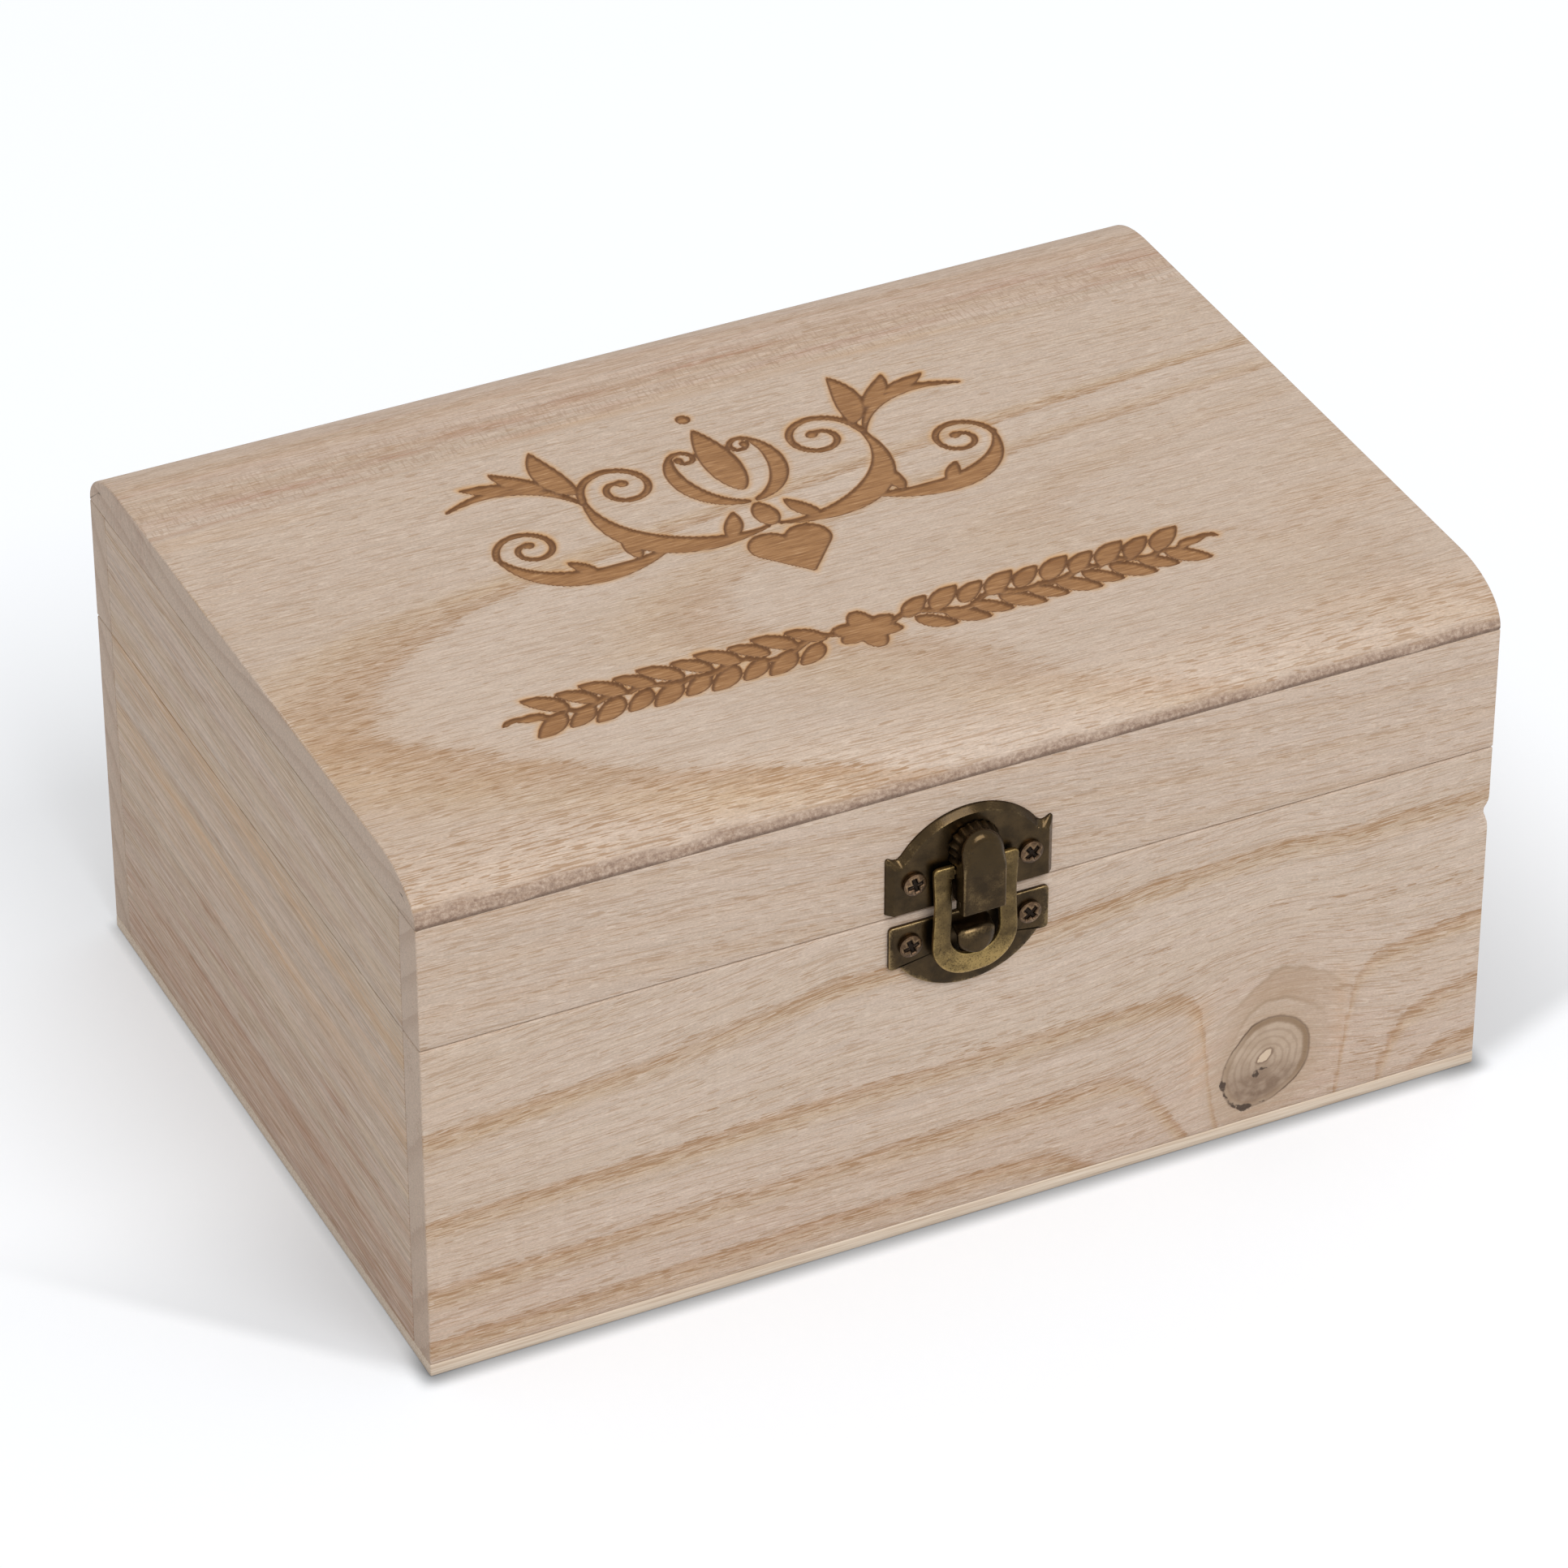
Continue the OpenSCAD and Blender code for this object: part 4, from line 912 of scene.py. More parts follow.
bronze = {
    # plating on each kind of part: in its hollows, on its faces, where it is rubbed
    "plate": {"dark": "#362b1d", "body": "#4b3c28", "worn": "#97805a", "wear": 0.0, "roughness": 0.32},
    "ring": {"dark": "#514229", "body": "#6c5939", "worn": "#a98f5a", "wear": 0.12, "roughness": 0.36},
    "screw": {"dark": "#4b3a2a", "body": "#685240", "worn": "#a08463", "wear": 0.08, "roughness": 0.34},
    "speck": "#2c2218", "recess": "#231a13", "polished": "#392a10", "polishedRoughness": 0.2,
    "lacquer": 0.05, "knobLacquer": 0.22, "lacquerRoughness": 0.16, "bump": 0.16, "relief": 0.1,
}


def antiqueBronze(name, look):
    # Brass-plated steel, blackened, tumbled and thinly lacquered: dark olive brown in the hollows, brassy where it rubs,
    # satin. Its attributes: rubbed is above 0 on rubbed edges and below 0 in recesses; polish is mm above the line where
    # the lever's knob turns glossy.
    material, tree, output = newMaterial(name)
    add = partial(addNode, tree)
    place = add("TexCoord").outputs["Object"]
    rubbed = add("Attribute", attribute_name="rubbed").outputs["Fac"]
    polish = add("MapRange", {0: add("Attribute", attribute_name="polish").outputs["Fac"], 1: -0.1, 2: 0.6}, **eased)
    cloud, speck = (
        add("TexNoise", {"Vector": place, "Scale": 1 / (size * mm), "Detail": detail, "Roughness": 0.55}).outputs["Fac"]
        for size, detail in ((3.2, 3.0), (0.28, 2.0)))
    rub = add("Math", {0: cloud, 1: 0.7, 2: look["wear"] - 0.35}, **timesPlus)
    rub = add("Math", {0: rubbed, 1: 0.8, 2: rub}, **timesPlus)
    rub = add("MapRange", {0: add("Math", {0: speck, 1: 0.5, 2: rub}, **timesPlus), 1: 0.45, 2: 1.15}, **eased)
    base = look["dark"]
    for share, colour in (
            (add("MapRange", {0: cloud, 1: 0.35, 2: 0.65}), look["body"]),
            (add("Math", {0: polish, 1: 0.7}, **times), bronze["polished"]), (rub, look["worn"]),
            (add("MapRange", {0: speck, 1: 0.42, 2: 0.30, 3: 0.0, 4: 0.6}), bronze["speck"]),
            (add("MapRange", {0: rubbed, 1: -0.1, 2: -0.5}, **eased), bronze["recess"])):
        base = add("Mix", {0: share, 6: base, 7: colour}, **rgba)
    dull = add("MapRange", {0: cloud, 1: 0.3, 2: 0.7, 3: look["roughness"] + 0.10, 4: look["roughness"] - 0.04})
    dull = add("MapRange", {0: polish, 3: dull, 4: bronze["polishedRoughness"]})
    bump = add("Bump", {"Height": speck, "Strength": bronze["bump"], "Distance": bronze["relief"] * mm})
    lacquer = add("MapRange", {0: polish, 3: bronze["lacquer"], 4: bronze["knobLacquer"]})
    shader = add("BsdfPrincipled", {"Base Color": base, "Metallic": 1.0, "Roughness": dull, "Normal": bump,
                                    "Coat Weight": lacquer, "Coat Roughness": bronze["lacquerRoughness"], "Coat IOR": 1.5})
    tree.links.new(shader.outputs[0], output.inputs["Surface"])
    return material


plateBronze = antiqueBronze("antiqueBronzePlating", bronze["plate"])
ringBronze = antiqueBronze("wornAntiqueBronze", bronze["ring"])
screwBronze = antiqueBronze("copperBronzePlating", bronze["screw"])

latch = {"x": -0.8, "sheet": 0.8}


def onFront(p):
    # from latch coordinates (x from the latch's middle, z up, out from the wood) to the part's frame
    return columns(latch["x"] + p[..., 0], -halfDepth - p[..., 2], p[..., 1])


def resample(corners, spacing):
    # evenly spaced points along a line of corners, corners kept
    corners = np.array(corners, float)
    parts = []
    for start, run in zip(corners, np.diff(corners, axis=0)):
        count = max(1, int(round(np.linalg.norm(run) / spacing)))
        parts.append(start + run * np.linspace(0, 1, count + 1)[:-1, None])
    return np.concatenate(parts + [corners[-1:]])


def arcPoints(cx, cz, r, start, stop, count):
    # points along a circle round (cx, cz), from one angle to the other in degrees
    turn = np.radians(np.linspace(start, stop, count))
    return columns(cx + r * np.cos(turn), cz + r * np.sin(turn))


def mirrored(line):
    # a line from the right side to the middle, and back down the left side
    return np.concatenate([line, line[::-1] * [-1, 1]])


def layers(rows):
    # one grid of (x, z, out) from rows of a line in (x, z) and its height or heights
    return np.array([columns(line[:, 0], line[:, 1], out) for line, out in rows])


def squaredCircle(count, acrossPower, thickPower):
    # a loop of (across, thick) from -1 to 1: cosine and sine, their sizes raised to a power below 1
    turn = np.linspace(0, 2 * np.pi, count + 1)[:-1]
    return [np.sign(side) * np.abs(side) ** power
            for side, power in ((np.cos(turn), acrossPower), (np.sin(turn), thickPower))]


upper = {
    # the plate's rim: half its width, its foot, the ears' top, the arch; the same for the flat face inside it, and its height
    "half": 15.5, "low": 68.8, "earTop": 79.3, "radius": 15.4, "middle": 71.0, "archFrom": 79.95,
    "innerHalf": 14.3, "innerTop": 78.1, "innerRadius": 14.4, "innerFrom": 12.2, "height": 1.5,
    # the slope from the rim: height of its edge, where it starts, and the rows from there, with how rubbed and glossy
    # they are; the rows under it, each with its share of the way in and its height
    "rim": 0.26, "slopeFrom": 0.3, "slope": (0.08, 0.2, 0.35, 0.5, 0.66, 0.82, 0.93), "lip": 0.08,
    "rubbed": (0.25, 0.25, 0.2, 0.22, 0.2, 0.18, 0.22, 0.32, 0.25), "polish": 0.32,
    "underside": ((0.65, 0.35), (0.55, 0.0), (0.04, 0.0)),
}


def upperLines():
    # the rim and the edge of the flat face, point for point: up the ear, round the horn, over the arch, and mirrored down
    h, earTop, inner, innerTop = (upper[key] for key in ("half", "earTop", "innerHalf", "innerTop"))
    t = np.linspace(0, 1, 20)[:-1]
    horn = np.concatenate([arcPoints(h - 0.45, earTop + 0.15, 0.45, 0, 110, 6),
                           [(14.2, earTop + 0.16), (13.6, earTop + 0.02), (13.2, earTop + 0.1), (12.86, earTop + 0.36)]])
    u = np.linspace(0, 1, len(horn) + 1)[:-1]
    start = math.degrees(math.asin((upper["archFrom"] - upper["middle"]) / upper["radius"]))
    innerStart = math.degrees(math.acos(upper["innerFrom"] / upper["innerRadius"]))
    rim = [columns(h, upper["low"] + (earTop + 0.1 - upper["low"]) * t), horn,
           arcPoints(0, upper["middle"], upper["radius"], start, 90, 34)]
    face = [columns(inner, upper["low"] + (innerTop - upper["low"]) * t),
            columns(*(np.interp(u, [0, 0.65, 1], stops) for stops in (
                [inner, 12.75, upper["innerFrom"]], [innerTop, innerTop + 0.1, innerTop + 0.8]))),
            arcPoints(0, upper["middle"], upper["innerRadius"], innerStart, 90, 34)]
    return [np.concatenate([line, line[::-1][1:] * [-1, 1]]) for line in (np.concatenate(rim), np.concatenate(face))]


def pressedPlate():
    # A closed pan: from the rim to the face's edge by s while it rises to h(s) = 0.3 + 1.2 (0.9 s + 0.1 sin(pi s / 2)),
    # over the face to the lower edge, and the same way back underneath, one sheet lower.
    rim, face = upperLines()
    share = np.concatenate([[0], np.cumsum(np.linalg.norm(np.diff(face, axis=0), axis=1))])
    share /= share[-1]
    high, under, first = upper["height"], upper["height"] - latch["sheet"], upper["slopeFrom"]

    def slope(s, height):
        # the row at share s of the way in from the rim
        return rim + (face - rim) * s, height

    def over(height, steps, lowest):
        # rows at each share of the way over the face, down to a straight line at the lowest height
        target = columns((1 - 2 * share) * upper["innerHalf"], lowest)
        return [(face + (target - face) * t, height) for t in steps]

    rows = [slope(0, 0.0), slope(0, upper["rim"])]
    rows += [slope(s, first + (high - first) * (0.9 * s + 0.1 * math.sin(math.pi / 2 * s))) for s in upper["slope"]]
    rows += over(high, np.linspace(0, 1, 16), upper["low"] + upper["lip"])
    rows += over(high - upper["lip"], [1.0], upper["low"]) + over(under, np.linspace(1, 0, 5), upper["low"])
    grid = layers(rows + [slope(*step) for step in upper["underside"]])
    ends = [np.broadcast_to(grid[:, i].mean(axis=0), grid[:, :1].shape) for i in (0, -1)]
    grid = np.concatenate([ends[0], grid, ends[1]], axis=1)
    rub, shine = np.zeros((2,) + grid.shape[:2])
    rub[1:10] = np.array(upper["rubbed"])[:, None]
    shine[2:10] = upper["polish"]
    return onFront(grid), gridFaces(*grid.shape[:2], closeRows=True), rub.ravel(), shine.ravel()


lug = {
    # its inner and outer side, and the soft edge; its outline in (out, z) up to the round eye, the eye, and back from it
    "inside": 2.4, "outside": 3.2, "edge": 0.12,
    "foot": [(0.75, 73.1), (0.75, 69.0), (2.1, 69.0), (2.1, 70.45), (4.2, 70.45)], "eye": (4.7, 70.35, 1.0, 175, 420, 14),
    "head": [(4.9, 71.35), (2.1, 72.3), (2.1, 73.1)],
}


def lugs():
    # two ears that hold the lever's pin: an outline in (out, z) carried along x, its rounded ends closed at its middle
    outline = np.concatenate([resample(lug["foot"], 0.6)[:-1], arcPoints(*lug["eye"]), resample(lug["head"], 0.6)])
    normal, middle = outwardNormals(outline), outline.mean(axis=0)
    parts = []
    for side in (-1, 1):
        place, draw = roundedEnds(side * lug["inside"], side * lug["outside"], lug["edge"])
        grid = outline - normal * draw[:, None, None]
        cap = np.broadcast_to(middle, grid[:1].shape)
        grid = np.concatenate([cap, grid, cap])
        points = columns(np.pad(place, 1, mode="edge")[:, None], grid[..., 1], grid[..., 0])
        parts.append((onFront(points), gridFaces(*grid.shape[:2], closeColumns=True)))
    return parts


points, faces, rub, shine = pressedPlate()
lugParts = lugs()
lugCount = pointCount(lugParts)
makePiece("latch-upper-plate", "lid", plateBronze, [(points, faces)] + lugParts, ["latch_upper_plate"], 35,
          {"rubbed": np.concatenate([rub, np.full(lugCount, 0.2)]), "polish": np.concatenate([shine, np.zeros(lugCount)])})

hook = {
    # the plate: half its width, its top, the ears' foot and corners, the arch below and where it leaves the ears
    "half": 14.9, "top": 65.8, "earLow": 57.2, "corner": 0.8, "radius": 16.0, "middle": 66.9, "archHalf": 13.0,
    "coveHalf": 13.5, "edge": 0.22, "rubbed": (0.5, 0.8, 0.9, 0.5),
    # the hook: its width, how far it stands off, its root and tip, its bend, how far its edges curl back,
    # and the window behind it
    "width": 6.9, "stand": 4.4, "root": 63.95, "tip": 59.1, "bend": 1.1, "curl": 0.8,
    "windowHalf": 1.55, "windowLow": 56.4, "windowHigh": 63.15,
}


def hookOutline():
    # anticlockwise from the lower end of the right ear: up the ear, along the top, down and round the arch
    h, r = hook["half"], hook["corner"]
    right = np.concatenate([
        arcPoints(h - r, hook["earLow"] + r, r, -90, 0, 6),
        resample([(h, hook["earLow"] + r), (h, hook["top"] - r)], 0.8)[1:-1],
        arcPoints(h - r, hook["top"] - r, r, 0, 90, 6),
    ])
    topLine = resample([(h - r, hook["top"]), (-h + r, hook["top"])], 0.8)[1:-1]
    start = math.degrees(math.acos(hook["archHalf"] / hook["radius"]))
    arch = arcPoints(0, hook["middle"], hook["radius"], 180 + start, 360 - start, 44)
    cove = np.array([[-hook["coveHalf"], hook["earLow"]]])
    return np.concatenate([right, topLine, right[::-1] * [-1, 1], cove, arch, cove * [-1, 1]])


def hookPlate():
    # rows run from the window's back edge out over the back, round the rim, and in over the face to the window again
    outline, edge, thick = hookOutline(), hook["edge"], latch["sheet"]
    normal = outwardNormals(outline)
    middle = np.array([0.0, (hook["windowLow"] + hook["windowHigh"]) / 2])
    away = outline - middle
    windowSize = np.array([hook["windowHalf"], (hook["windowHigh"] - hook["windowLow"]) / 2])
    window = middle + away * (windowSize / np.maximum(np.abs(away), 1e-9)).min(axis=1)[:, None]
    height, draw = roundedEnds(0, thick, edge)
    height[:4] *= 0.6
    face = outline - normal * edge
    rows = [(window, 0.05)] + [(outline - normal * inset, out) for out, inset in zip(height, draw)]
    rows += [(face * (1 - t) + (window + (face - window) * 0.02) * t, thick) for t in np.linspace(0, 1, 8)[1:]]
    grid = layers(rows + [(window, thick - 0.1)])
    rub = np.zeros(grid.shape[:2])
    rub[5:9] = np.array(hook["rubbed"])[:, None]
    return onFront(grid), gridFaces(*grid.shape[:2], closeRows=True, closeColumns=True), rub.ravel()


def hookTongue():
    # A strip carried out along a shelf, round the bend and down the lip: half width = w (1 - u^3)^(1 / 2.2) at the tip,
    # its edges curled back by curl * |across|^4.
    s, w, bend, tip = latch["sheet"], hook["width"] / 2, hook["bend"], hook["tip"]
    outMiddle, rootMiddle = hook["stand"] - s / 2, hook["root"] - s / 2
    path = np.concatenate([
        columns(np.linspace(0.3, outMiddle - bend, 6), rootMiddle),
        arcPoints(outMiddle - bend, rootMiddle - bend, bend, 90, 0, 8)[1:],
        columns(outMiddle, tip + 0.02 + (rootMiddle - bend - tip) * (1 - np.sin(np.linspace(0, np.pi / 2, 26))))[1:],
    ])
    ahead = np.gradient(path, axis=0)
    ahead /= np.linalg.norm(ahead, axis=1)[:, None]
    above = np.clip((tip + w - path[:, 1]) / w, 0, 1)
    half = np.where(path[:, 0] > outMiddle - 0.2, w * np.maximum(1 - above ** 3, 0) ** (1 / 2.2), w)[:, None]
    across, thick = squaredCircle(32, 0.4, 0.4)
    curl = hook["curl"] * np.abs(across) ** 4 * smooth(1.0, 3.2, path[:, :1])
    push = s / 2 * thick - curl * half / w
    points = columns(half * across, path[:, 1:] + ahead[:, :1] * push, path[:, :1] - ahead[:, 1:] * push)
    rub = bands(np.arange(len(path)), [(9.5, 4.0, 0.45)])
    return onFront(points), gridFaces(*points.shape[:2], closeColumns=True), np.repeat(rub, len(across))


skins = [hookPlate(), hookTongue()]
makePiece("latch-hook-plate", "base", plateBronze, [skin[:2] for skin in skins], ["latch_hook_plate"], 38,
          {"rubbed": np.concatenate([skin[2] for skin in skins])})

lever = {
    # its half width, foot and top; how far its face stands off and falls over the dome; its wall, and where that ends
    # at the foot and behind the dome; the round of its edge, wide on the dome; the dome rim's flare, ridges and notches;
    # where the knob is glossy
    "half": 4.0, "low": 68.8, "top": 83.9, "stand": 6.5, "crown": 0.9, "crownFrom": 76.5, "crownRun": 7.4,
    "wall": 0.55, "back": 3.7, "domeBack": 1.78, "backSteps": (73.15, 74.45), "fillet": 1.6, "sideFillet": 0.5,
    "footFillet": 0.12, "flare": 0.6, "flareFrom": (76.9, 77.6), "ridges": 17, "notch": 0.16, "glossFrom": 76.0,
    "centre": 74.6,
}


def leverSkin():
    # A closed shell. The face's outline is carried out round its edge by a quarter circle and back down the wall, flared
    # and ridged at the dome's rim, then the same way back one wall thickness inside. The face falls over the dome,
    # out = stand - crown ((z - crownFrom) / crownRun)^2.
    h, thick = lever["half"], lever["wall"]
    dome = lever["top"] - h
    right = resample([(h, lever["low"]), (h, dome)], 0.35)
    line = np.concatenate([right, arcPoints(0, dome, h, 0, 180, 90)[1:-1], right[::-1] * [-1, 1]])
    outline = np.concatenate([line, resample([(-h + thick, lever["low"]), (h - thick, lever["low"])], 0.5)])
    onBottom = np.arange(len(outline)) >= len(line)
    normal = outwardNormals(outline)
    normal[0], normal[len(line) - 1] = (1, 0), (-1, 0)
    normal[onBottom] = (0, -1)
    z = outline[:, 1]
    domeShare = smooth(dome - 3.4, dome + 0.5, z)
    fillet = lever["sideFillet"] + (lever["fillet"] - lever["sideFillet"]) * domeShare
    fillet = np.where(onBottom, lever["footFillet"], fillet)
    back = lever["back"] + (lever["domeBack"] - lever["back"]) * smooth(*lever["backSteps"], z)
    back = np.where(onBottom, lever["stand"] - thick, back)
    angle = np.arctan2(z - dome, outline[:, 0])
    start = smooth(*lever["flareFrom"], z) * ~onBottom
    ridge = 0.5 + 0.5 * np.cos(angle * lever["ridges"])
    wide = start * lever["flare"] * (1 - 0.75 * smooth(0.2, 1.0, np.sin(angle)))
    centre = np.array([0.0, lever["centre"]])
    rows, rub, shine = [], [], []

    def addRow(line, out, rubbed, polished=True):
        # a line and how far out it lies, how rubbed it is, and how far above the glossy limit where it is polished
        rows.append((line, out))
        rub.append(np.broadcast_to(rubbed, z.shape))
        shine.append(line[:, 1] - lever["glossFrom"] if polished else 0 * z)

    def faceOut(height):
        # how far the face stands off at a height
        return lever["stand"] - lever["crown"] * (np.maximum(height - lever["crownFrom"], 0) / lever["crownRun"]) ** 2

    # out over the face, round its edge, and down the wall
    for t in np.linspace(0, 1, 13)[:-1]:
        step = centre + (outline - normal * fillet[:, None] - centre) * t
        addRow(step, faceOut(step[:, 1]), 0.30 * smooth(76.2, 75.8, step[:, 1]))
    for t in np.linspace(0, np.pi / 2, 8):
        step = outline - normal * (fillet * (1 - math.sin(t)))[:, None]
        addRow(step, faceOut(step[:, 1]) - fillet * (1 - math.cos(t)), 0.6 * math.sin(2 * t) * (1 - domeShare * 0.6))
    wallTop = faceOut(z) - fillet
    for t in np.linspace(0, 1, 15)[1:]:
        out = wallTop + (back - wallTop) * t
        flare = smooth(4.3, 2.1, out) * wide * (0.55 + 0.45 * ridge)
        notch = smooth(4.6, 3.9, out) * start * (1 - ridge) * lever["notch"]
        rubbed = 0.55 * ridge * smooth(4.6, 3.4, out) - 0.25 * (1 - ridge) * smooth(4.5, 4.0, out)
        addRow(outline + normal * (flare - notch)[:, None], out, np.clip(start * rubbed, -1, 1), False)

    # back up inside the wall, and in under the face
    inset = np.where(onBottom, 0.0, thick)
    for t in np.linspace(0, 1, 6):
        out = back + (faceOut(z) - np.maximum(fillet, thick) - back) * t
        addRow(outline - normal * (inset - 0.5 * wide * smooth(4.3, 2.1, out))[:, None], out, -0.15, False)
    for t in (0.9, 0.5, 0.0):
        step = centre + (outline - normal * (inset + fillet * 0.6)[:, None] - centre) * t
        addRow(step, faceOut(step[:, 1]) - thick, -0.15, False)
    grid = layers(rows)
    return onFront(grid), gridFaces(*grid.shape[:2], closeColumns=True), np.array(rub).ravel(), np.array(shine).ravel()


points, faces, rub, shine = leverSkin()
makePiece("latch-lever", "lever", plateBronze, [(points, faces)], ["latch_lever"], 42,
          {"rubbed": rub, "polish": shine})

ringForm = {
    # outer and inner half width of its arms; the tabs' inner end, top, foot and corner; its foot, how thick that is, and
    # its corners; how far its arms bow in; its back face off the wood and its thickness
    "outer": 7.9, "inner": 4.6, "tab": 4.2, "top": 77.05, "tabLow": 74.45, "tabCorner": 0.9, "low": 54.45, "foot": 3.9,
    "outerCorner": 6.9, "innerCorner": 4.1, "bow": 0.3, "back": 2.2, "thick": 1.1,
}


def ringSkin():
    # Matching lines along the ring's outer and inner edges, from the right tab round the foot to the left tab,
    # joined by a soft flat section.
    f, r = ringForm, ringForm["tabCorner"]
    outerTab = np.concatenate([resample([(f["tab"], f["top"]), (f["outer"] - r, f["top"])], 0.3)[:-1],
                               arcPoints(f["outer"] - r, f["top"] - r, r, 90, 0, 8)])
    t = np.linspace(0, 1, 40)[1:]
    bow = f["bow"] * np.sin(np.pi * t) ** 1.5
    shoulder, innerShoulder = f["low"] + f["outerCorner"], f["low"] + f["foot"] + f["innerCorner"]
    outer = mirrored(np.concatenate([
        outerTab, columns(f["outer"] - bow, outerTab[-1, 1] + (shoulder - outerTab[-1, 1]) * t),
        arcPoints(f["outer"] - f["outerCorner"], shoulder, f["outerCorner"], 0, -90, 30)[1:]]))
    inner = mirrored(np.concatenate([
        columns(np.linspace(f["tab"], f["inner"], len(outerTab)), f["tabLow"]),
        columns(f["inner"] - bow * 0.6, f["tabLow"] + (innerShoulder - f["tabLow"]) * t),
        arcPoints(f["inner"] - f["innerCorner"], innerShoulder, f["innerCorner"], 0, -90, 30)[1:]]))
    across, thick = squaredCircle(24, 0.34, 0.5)
    grid = (outer + inner)[:, None] / 2 + (outer - inner)[:, None] / 2 * across[:, None]
    points = onFront(columns(grid[..., 0], grid[..., 1], f["back"] + f["thick"] / 2 * (1 + thick)))
    ends = [np.broadcast_to(points[i].mean(axis=0), points[:1].shape) for i in (0, -1)]
    points = np.concatenate([ends[0], points, ends[1]])
    rub = 0.1 + 0.45 * smooth(62, 56, points[..., 2]) + 0.5 * np.abs(across) ** 8
    return points, gridFaces(*points.shape[:2], closeColumns=True), rub.ravel()


def carried(outline, centre, place, scale):
    # an outline in (out, z) carried along x and scaled about its centre at each place
    grid = centre + (outline - centre) * np.array(scale)[:, None, None]
    points = columns(np.array(place)[:, None], grid[..., 1], grid[..., 0])
    return points, gridFaces(*grid.shape[:2], closeColumns=True)


def roundBar(bar, x0, x1):
    # a bar along x with softened, closed ends
    turn = np.linspace(0, 2 * np.pi, 29)[:-1]
    centre = np.array([bar["out"], bar["up"]])
    step, e = math.copysign(bar["edge"], x1 - x0), bar["edge"] / bar["radius"]
    place = [x0, x0, x0 + step * 0.3, x0 + step, x1 - step, x1 - step * 0.3, x1, x1]
    return carried(centre + bar["radius"] * columns(np.cos(turn), np.sin(turn)), centre, place,
                   [0, 1 - e, 1 - e * 0.3, 1, 1, 1 - e * 0.3, 1 - e, 0])


# the two bars that the ring turns on in the lever, and the pin that the lever turns on in the lugs
trunnion = {"radius": 0.55, "inside": 3.3, "outside": 4.6, "out": 2.75, "up": 75.75, "edge": 0.12}
leverPin = {"radius": 0.6, "half": 4.1, "out": 4.7, "up": 70.35, "edge": 0.12}

points, faces, rub = ringSkin()
parts = [(points, faces)]
for side in (-1, 1):
    bar, faces = roundBar(trunnion, side * trunnion["inside"], side * trunnion["outside"])
    parts.append((onFront(bar), faces))
makePiece("latch-ring", "ring", ringBronze, parts, ["latch_ring"], 40,
          {"rubbed": np.concatenate([rub, np.full(pointCount(parts[1:]), 0.2)])})

bar, faces = roundBar(leverPin, -leverPin["half"], leverPin["half"])
makePiece("latch-lever-pin", "lid", plateBronze, [(onFront(bar), faces)], ["latch_lever_pin"], 40,
          {"rubbed": 0.3})
print("latch ready")


screw = {
    # diameter on the latch and on the hinges; heights of the head, of its crown and of its lip;
    # its recess: half width and length of the arms, and depth; the shank and how deep it goes
    "latch": 4.2, "hinge": 3.4,
    "height": 1.1, "crown": 0.42, "lip": 0.04, "armHalf": 0.38, "arm": 1.32, "sink": 0.62, "shank": 1.9, "deep": 6.0,
}


def screwSkin(diameter, seat, turned):
    # A square grid laid over the head: inside it a disc with crown z = height - crown * (r / R)^2.4, less a cross-shaped
    # recess; past it the skirt, the underside and the shank down to its tip.
    radius, height, neck, tip = diameter / 2, screw["height"], screw["shank"] / diameter, -screw["deep"] - seat
    # past the head's edge: place on the grid, radius in head radii, height
    stops, radii, levels = np.array([
        (1.0, 1.0, height - 0.45), (1.04, 1.0, height - 0.55), (1.08, 1.0, 0.12), (1.12, 0.97, 0.0), (1.16, neck, 0.0),
        (1.2, neck, -0.3), (1.24, neck, -1.0), (1.3, neck, tip + 1.4), (1.4, 0.15, tip + 0.05), (1.5, 0.0, tip)]).T
    positive = np.concatenate([[0.0, 0.1, 0.16, 0.2, 0.24, 0.29, 0.36, 0.45, 0.54, 0.6, 0.66, 0.74, 0.82, 0.9, 0.96], stops])
    line = np.concatenate([-positive[::-1], positive[1:]])
    u, v = np.meshgrid(line, line, indexing="ij")
    k = np.maximum(np.abs(u), np.abs(v))
    u, v, share = u / np.maximum(k, 1), v / np.maximum(k, 1), np.interp(k, stops, radii)
    x, y = (share * radius * a * np.sqrt(1 - b ** 2 / 2) for a, b in ((u, v), (v, u)))
    r = np.hypot(x, y) / radius
    cross = np.minimum(*(np.maximum(np.abs(a) / screw["armHalf"] - 1, (np.abs(b) - screw["arm"]) / screw["armHalf"])
                         for a, b in ((x, y), (y, x))))
    sink = smooth(0.45, -0.35, cross) * (screw["sink"] - 0.15 * r)
    onHead = k <= 1
    head = height - screw["crown"] * r ** 2.4 - screw["lip"] * (k > 0.94) - sink
    z = seat + np.where(onHead, head, np.interp(k, stops, levels))
    rub = 0.2 + 0.5 * smooth(0.5, 0.9, cross) * smooth(1.6, 0.6, cross) - 0.9 * smooth(0.1, 0.35, sink)
    a = math.radians(turned)
    points = columns(x * math.cos(a) - y * math.sin(a), x * math.sin(a) + y * math.cos(a), z)
    return points, gridFaces(len(line), len(line)), np.where(onHead, rub, 0.4).ravel()


def screwPiece(name, body, diameter, seat, side, places, replaced):
    # seat is how far the head sits off the wood; side is -1 on the front, 1 on the back; places are (x, z, turn of the cross)
    parts, rubs = [], []
    for x, z, turned in places:
        p, faces, rub = screwSkin(diameter, seat, turned)
        parts.append((columns(x - side * p[..., 0], side * (halfDepth + p[..., 2]), z + p[..., 1]), faces))
        rubs.append(rub)
    makePiece(name, body, screwBronze, parts, replaced, 40, {"rubbed": np.clip(np.concatenate(rubs), -1, 1)})


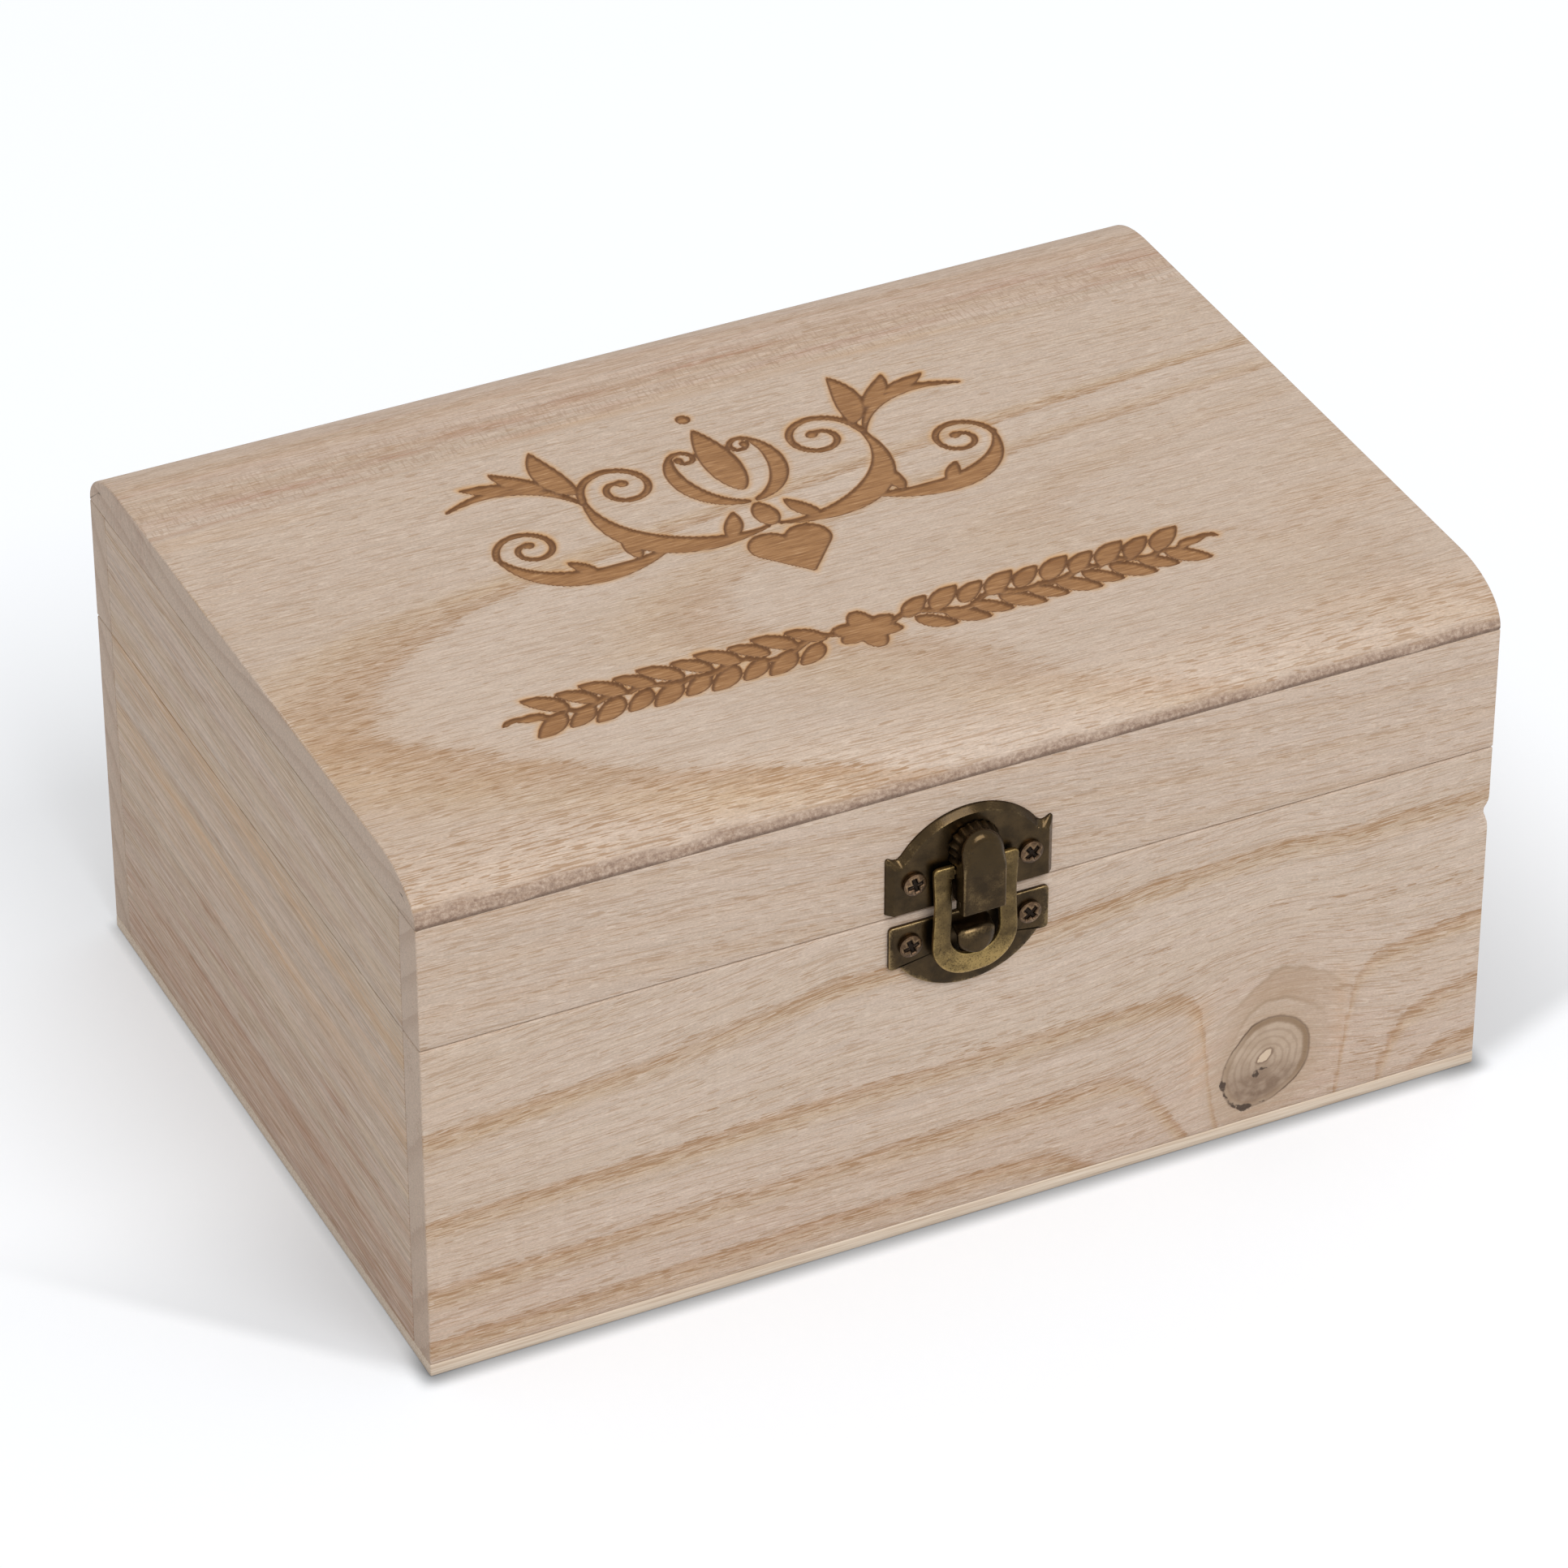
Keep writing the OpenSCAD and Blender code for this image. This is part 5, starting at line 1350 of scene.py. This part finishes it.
screwPiece("latch-upper-screws", "lid", screw["latch"], upper["height"], -1, [(-11.6, 74.6, 14), (10.0, 74.6, 38)],
           ["latch_upper_screws"])
screwPiece("latch-hook-screws", "base", screw["latch"], latch["sheet"], -1, [(-11.9, 61.7, 20), (10.3, 61.7, 41)],
           ["latch_hook_screws"])

hinge = {
    # distance between the two hinges; a leaf's width, where it starts off the seam, its height, sheet, corners and soft
    # edge; its eye's radius and distance from the wall; the gap between knuckles; where the screws sit, and the seam
    "span": 120.0, "width": 24.0, "start": 2.0, "height": 12.0, "sheet": 0.9, "corner": 1.5, "edge": 0.18,
    "radius": 1.7, "out": 1.85, "gap": 0.1, "screw": 7.5, "screwUp": 7.0, "seam": 67.5,
}

hingePin = {"radius": 0.8, "half": 12.3, "out": 1.85, "up": 0.0, "edge": 0.25}


def onBack(p, middle, up):
    # from (x from the hinge's middle, z away from the seam, out from the wall) to the part's frame
    return columns(middle + p[..., 0], halfDepth + p[..., 2], hinge["seam"] + up * p[..., 1])


def leafParts(middle, up, knuckles):
    # a flat plate with soft edges, and for each knuckle a rolled eye: an outline in (out, z) carried along x
    w, c, low, high = hinge["width"] / 2, hinge["corner"], hinge["start"], hinge["height"]
    outline = np.concatenate([
        resample([(w, low), (w, high - c)], 0.8)[:-1], arcPoints(w - c, high - c, c, 0, 90, 7),
        resample([(w - c, high), (-w + c, high)], 0.8)[1:-1], arcPoints(-w + c, high - c, c, 90, 180, 7),
        resample([(-w, high - c), (-w, low)], 0.8)[1:], resample([(-w, low), (w, low)], 0.8)[1:-1],
    ])
    normal, centre = outwardNormals(outline), np.array([0.0, hinge["screwUp"]])
    edge, sheet = hinge["edge"], hinge["sheet"]
    rows = [(np.broadcast_to(centre, outline.shape), 0.0)]
    rows += [(outline - normal * draw, out) for out, draw in zip(*roundedEnds(0, sheet, edge))]
    rows += [(centre + (outline - normal * edge - centre) * k, sheet) for k in (0.66, 0.33, 0.0)]
    plate = layers(rows)
    parts = [(onBack(plate, middle, up), gridFaces(*plate.shape[:2], closeColumns=True))]
    length = (hinge["width"] - 2 * hinge["gap"]) / 3
    eye = np.concatenate([arcPoints(hinge["out"], 0, hinge["radius"], 150, -195, 44), [[0.02, 1.4], [0.0, 2.4], [0.9, 2.4]]])
    for k in knuckles:
        x0 = k * (length + hinge["gap"]) - length / 2
        place = [x0, x0, x0 + 0.12, x0 + length - 0.12, x0 + length, x0 + length]
        points, faces = carried(eye, np.array([hinge["out"], 0.0]), place, [0, 0.93, 1, 1, 0.93, 0])
        parts.append((onBack(points, middle, up), faces))
    return parts


for side, sign in (("left", -1), ("right", 1)):
    middle = sign * hinge["span"] / 2
    for body, up, knuckles in (("base", -1, (-1, 1)), ("lid", 1, (0,))):
        makePiece(side + "-hinge-" + body + "-leaf", body, plateBronze, leafParts(middle, up, knuckles),
                  [side + "_hinge_" + body + "_leaf"], 35, {"rubbed": 0.2})
    bar, faces = roundBar(hingePin, -hingePin["half"], hingePin["half"])
    makePiece(side + "-hinge-pin", "base", plateBronze, [(onBack(bar, middle, 1), faces)],
              [side + "_hinge_pin"], 40, {"rubbed": 0.4})

for body, up in (("base", -1), ("lid", 1)):
    places = [(sign * hinge["span"] / 2 + s * hinge["screw"], hinge["seam"] + up * hinge["screwUp"], 17 + 31 * i)
              for i, (sign, s) in enumerate([(-1, -1), (-1, 1), (1, -1), (1, 1)])]
    screwPiece("hinge-" + body + "-screws", body, screw["hinge"], hinge["sheet"], 1, places, ["hinge_" + body + "_screws"])
print("screws and hinges ready")

print("finished")
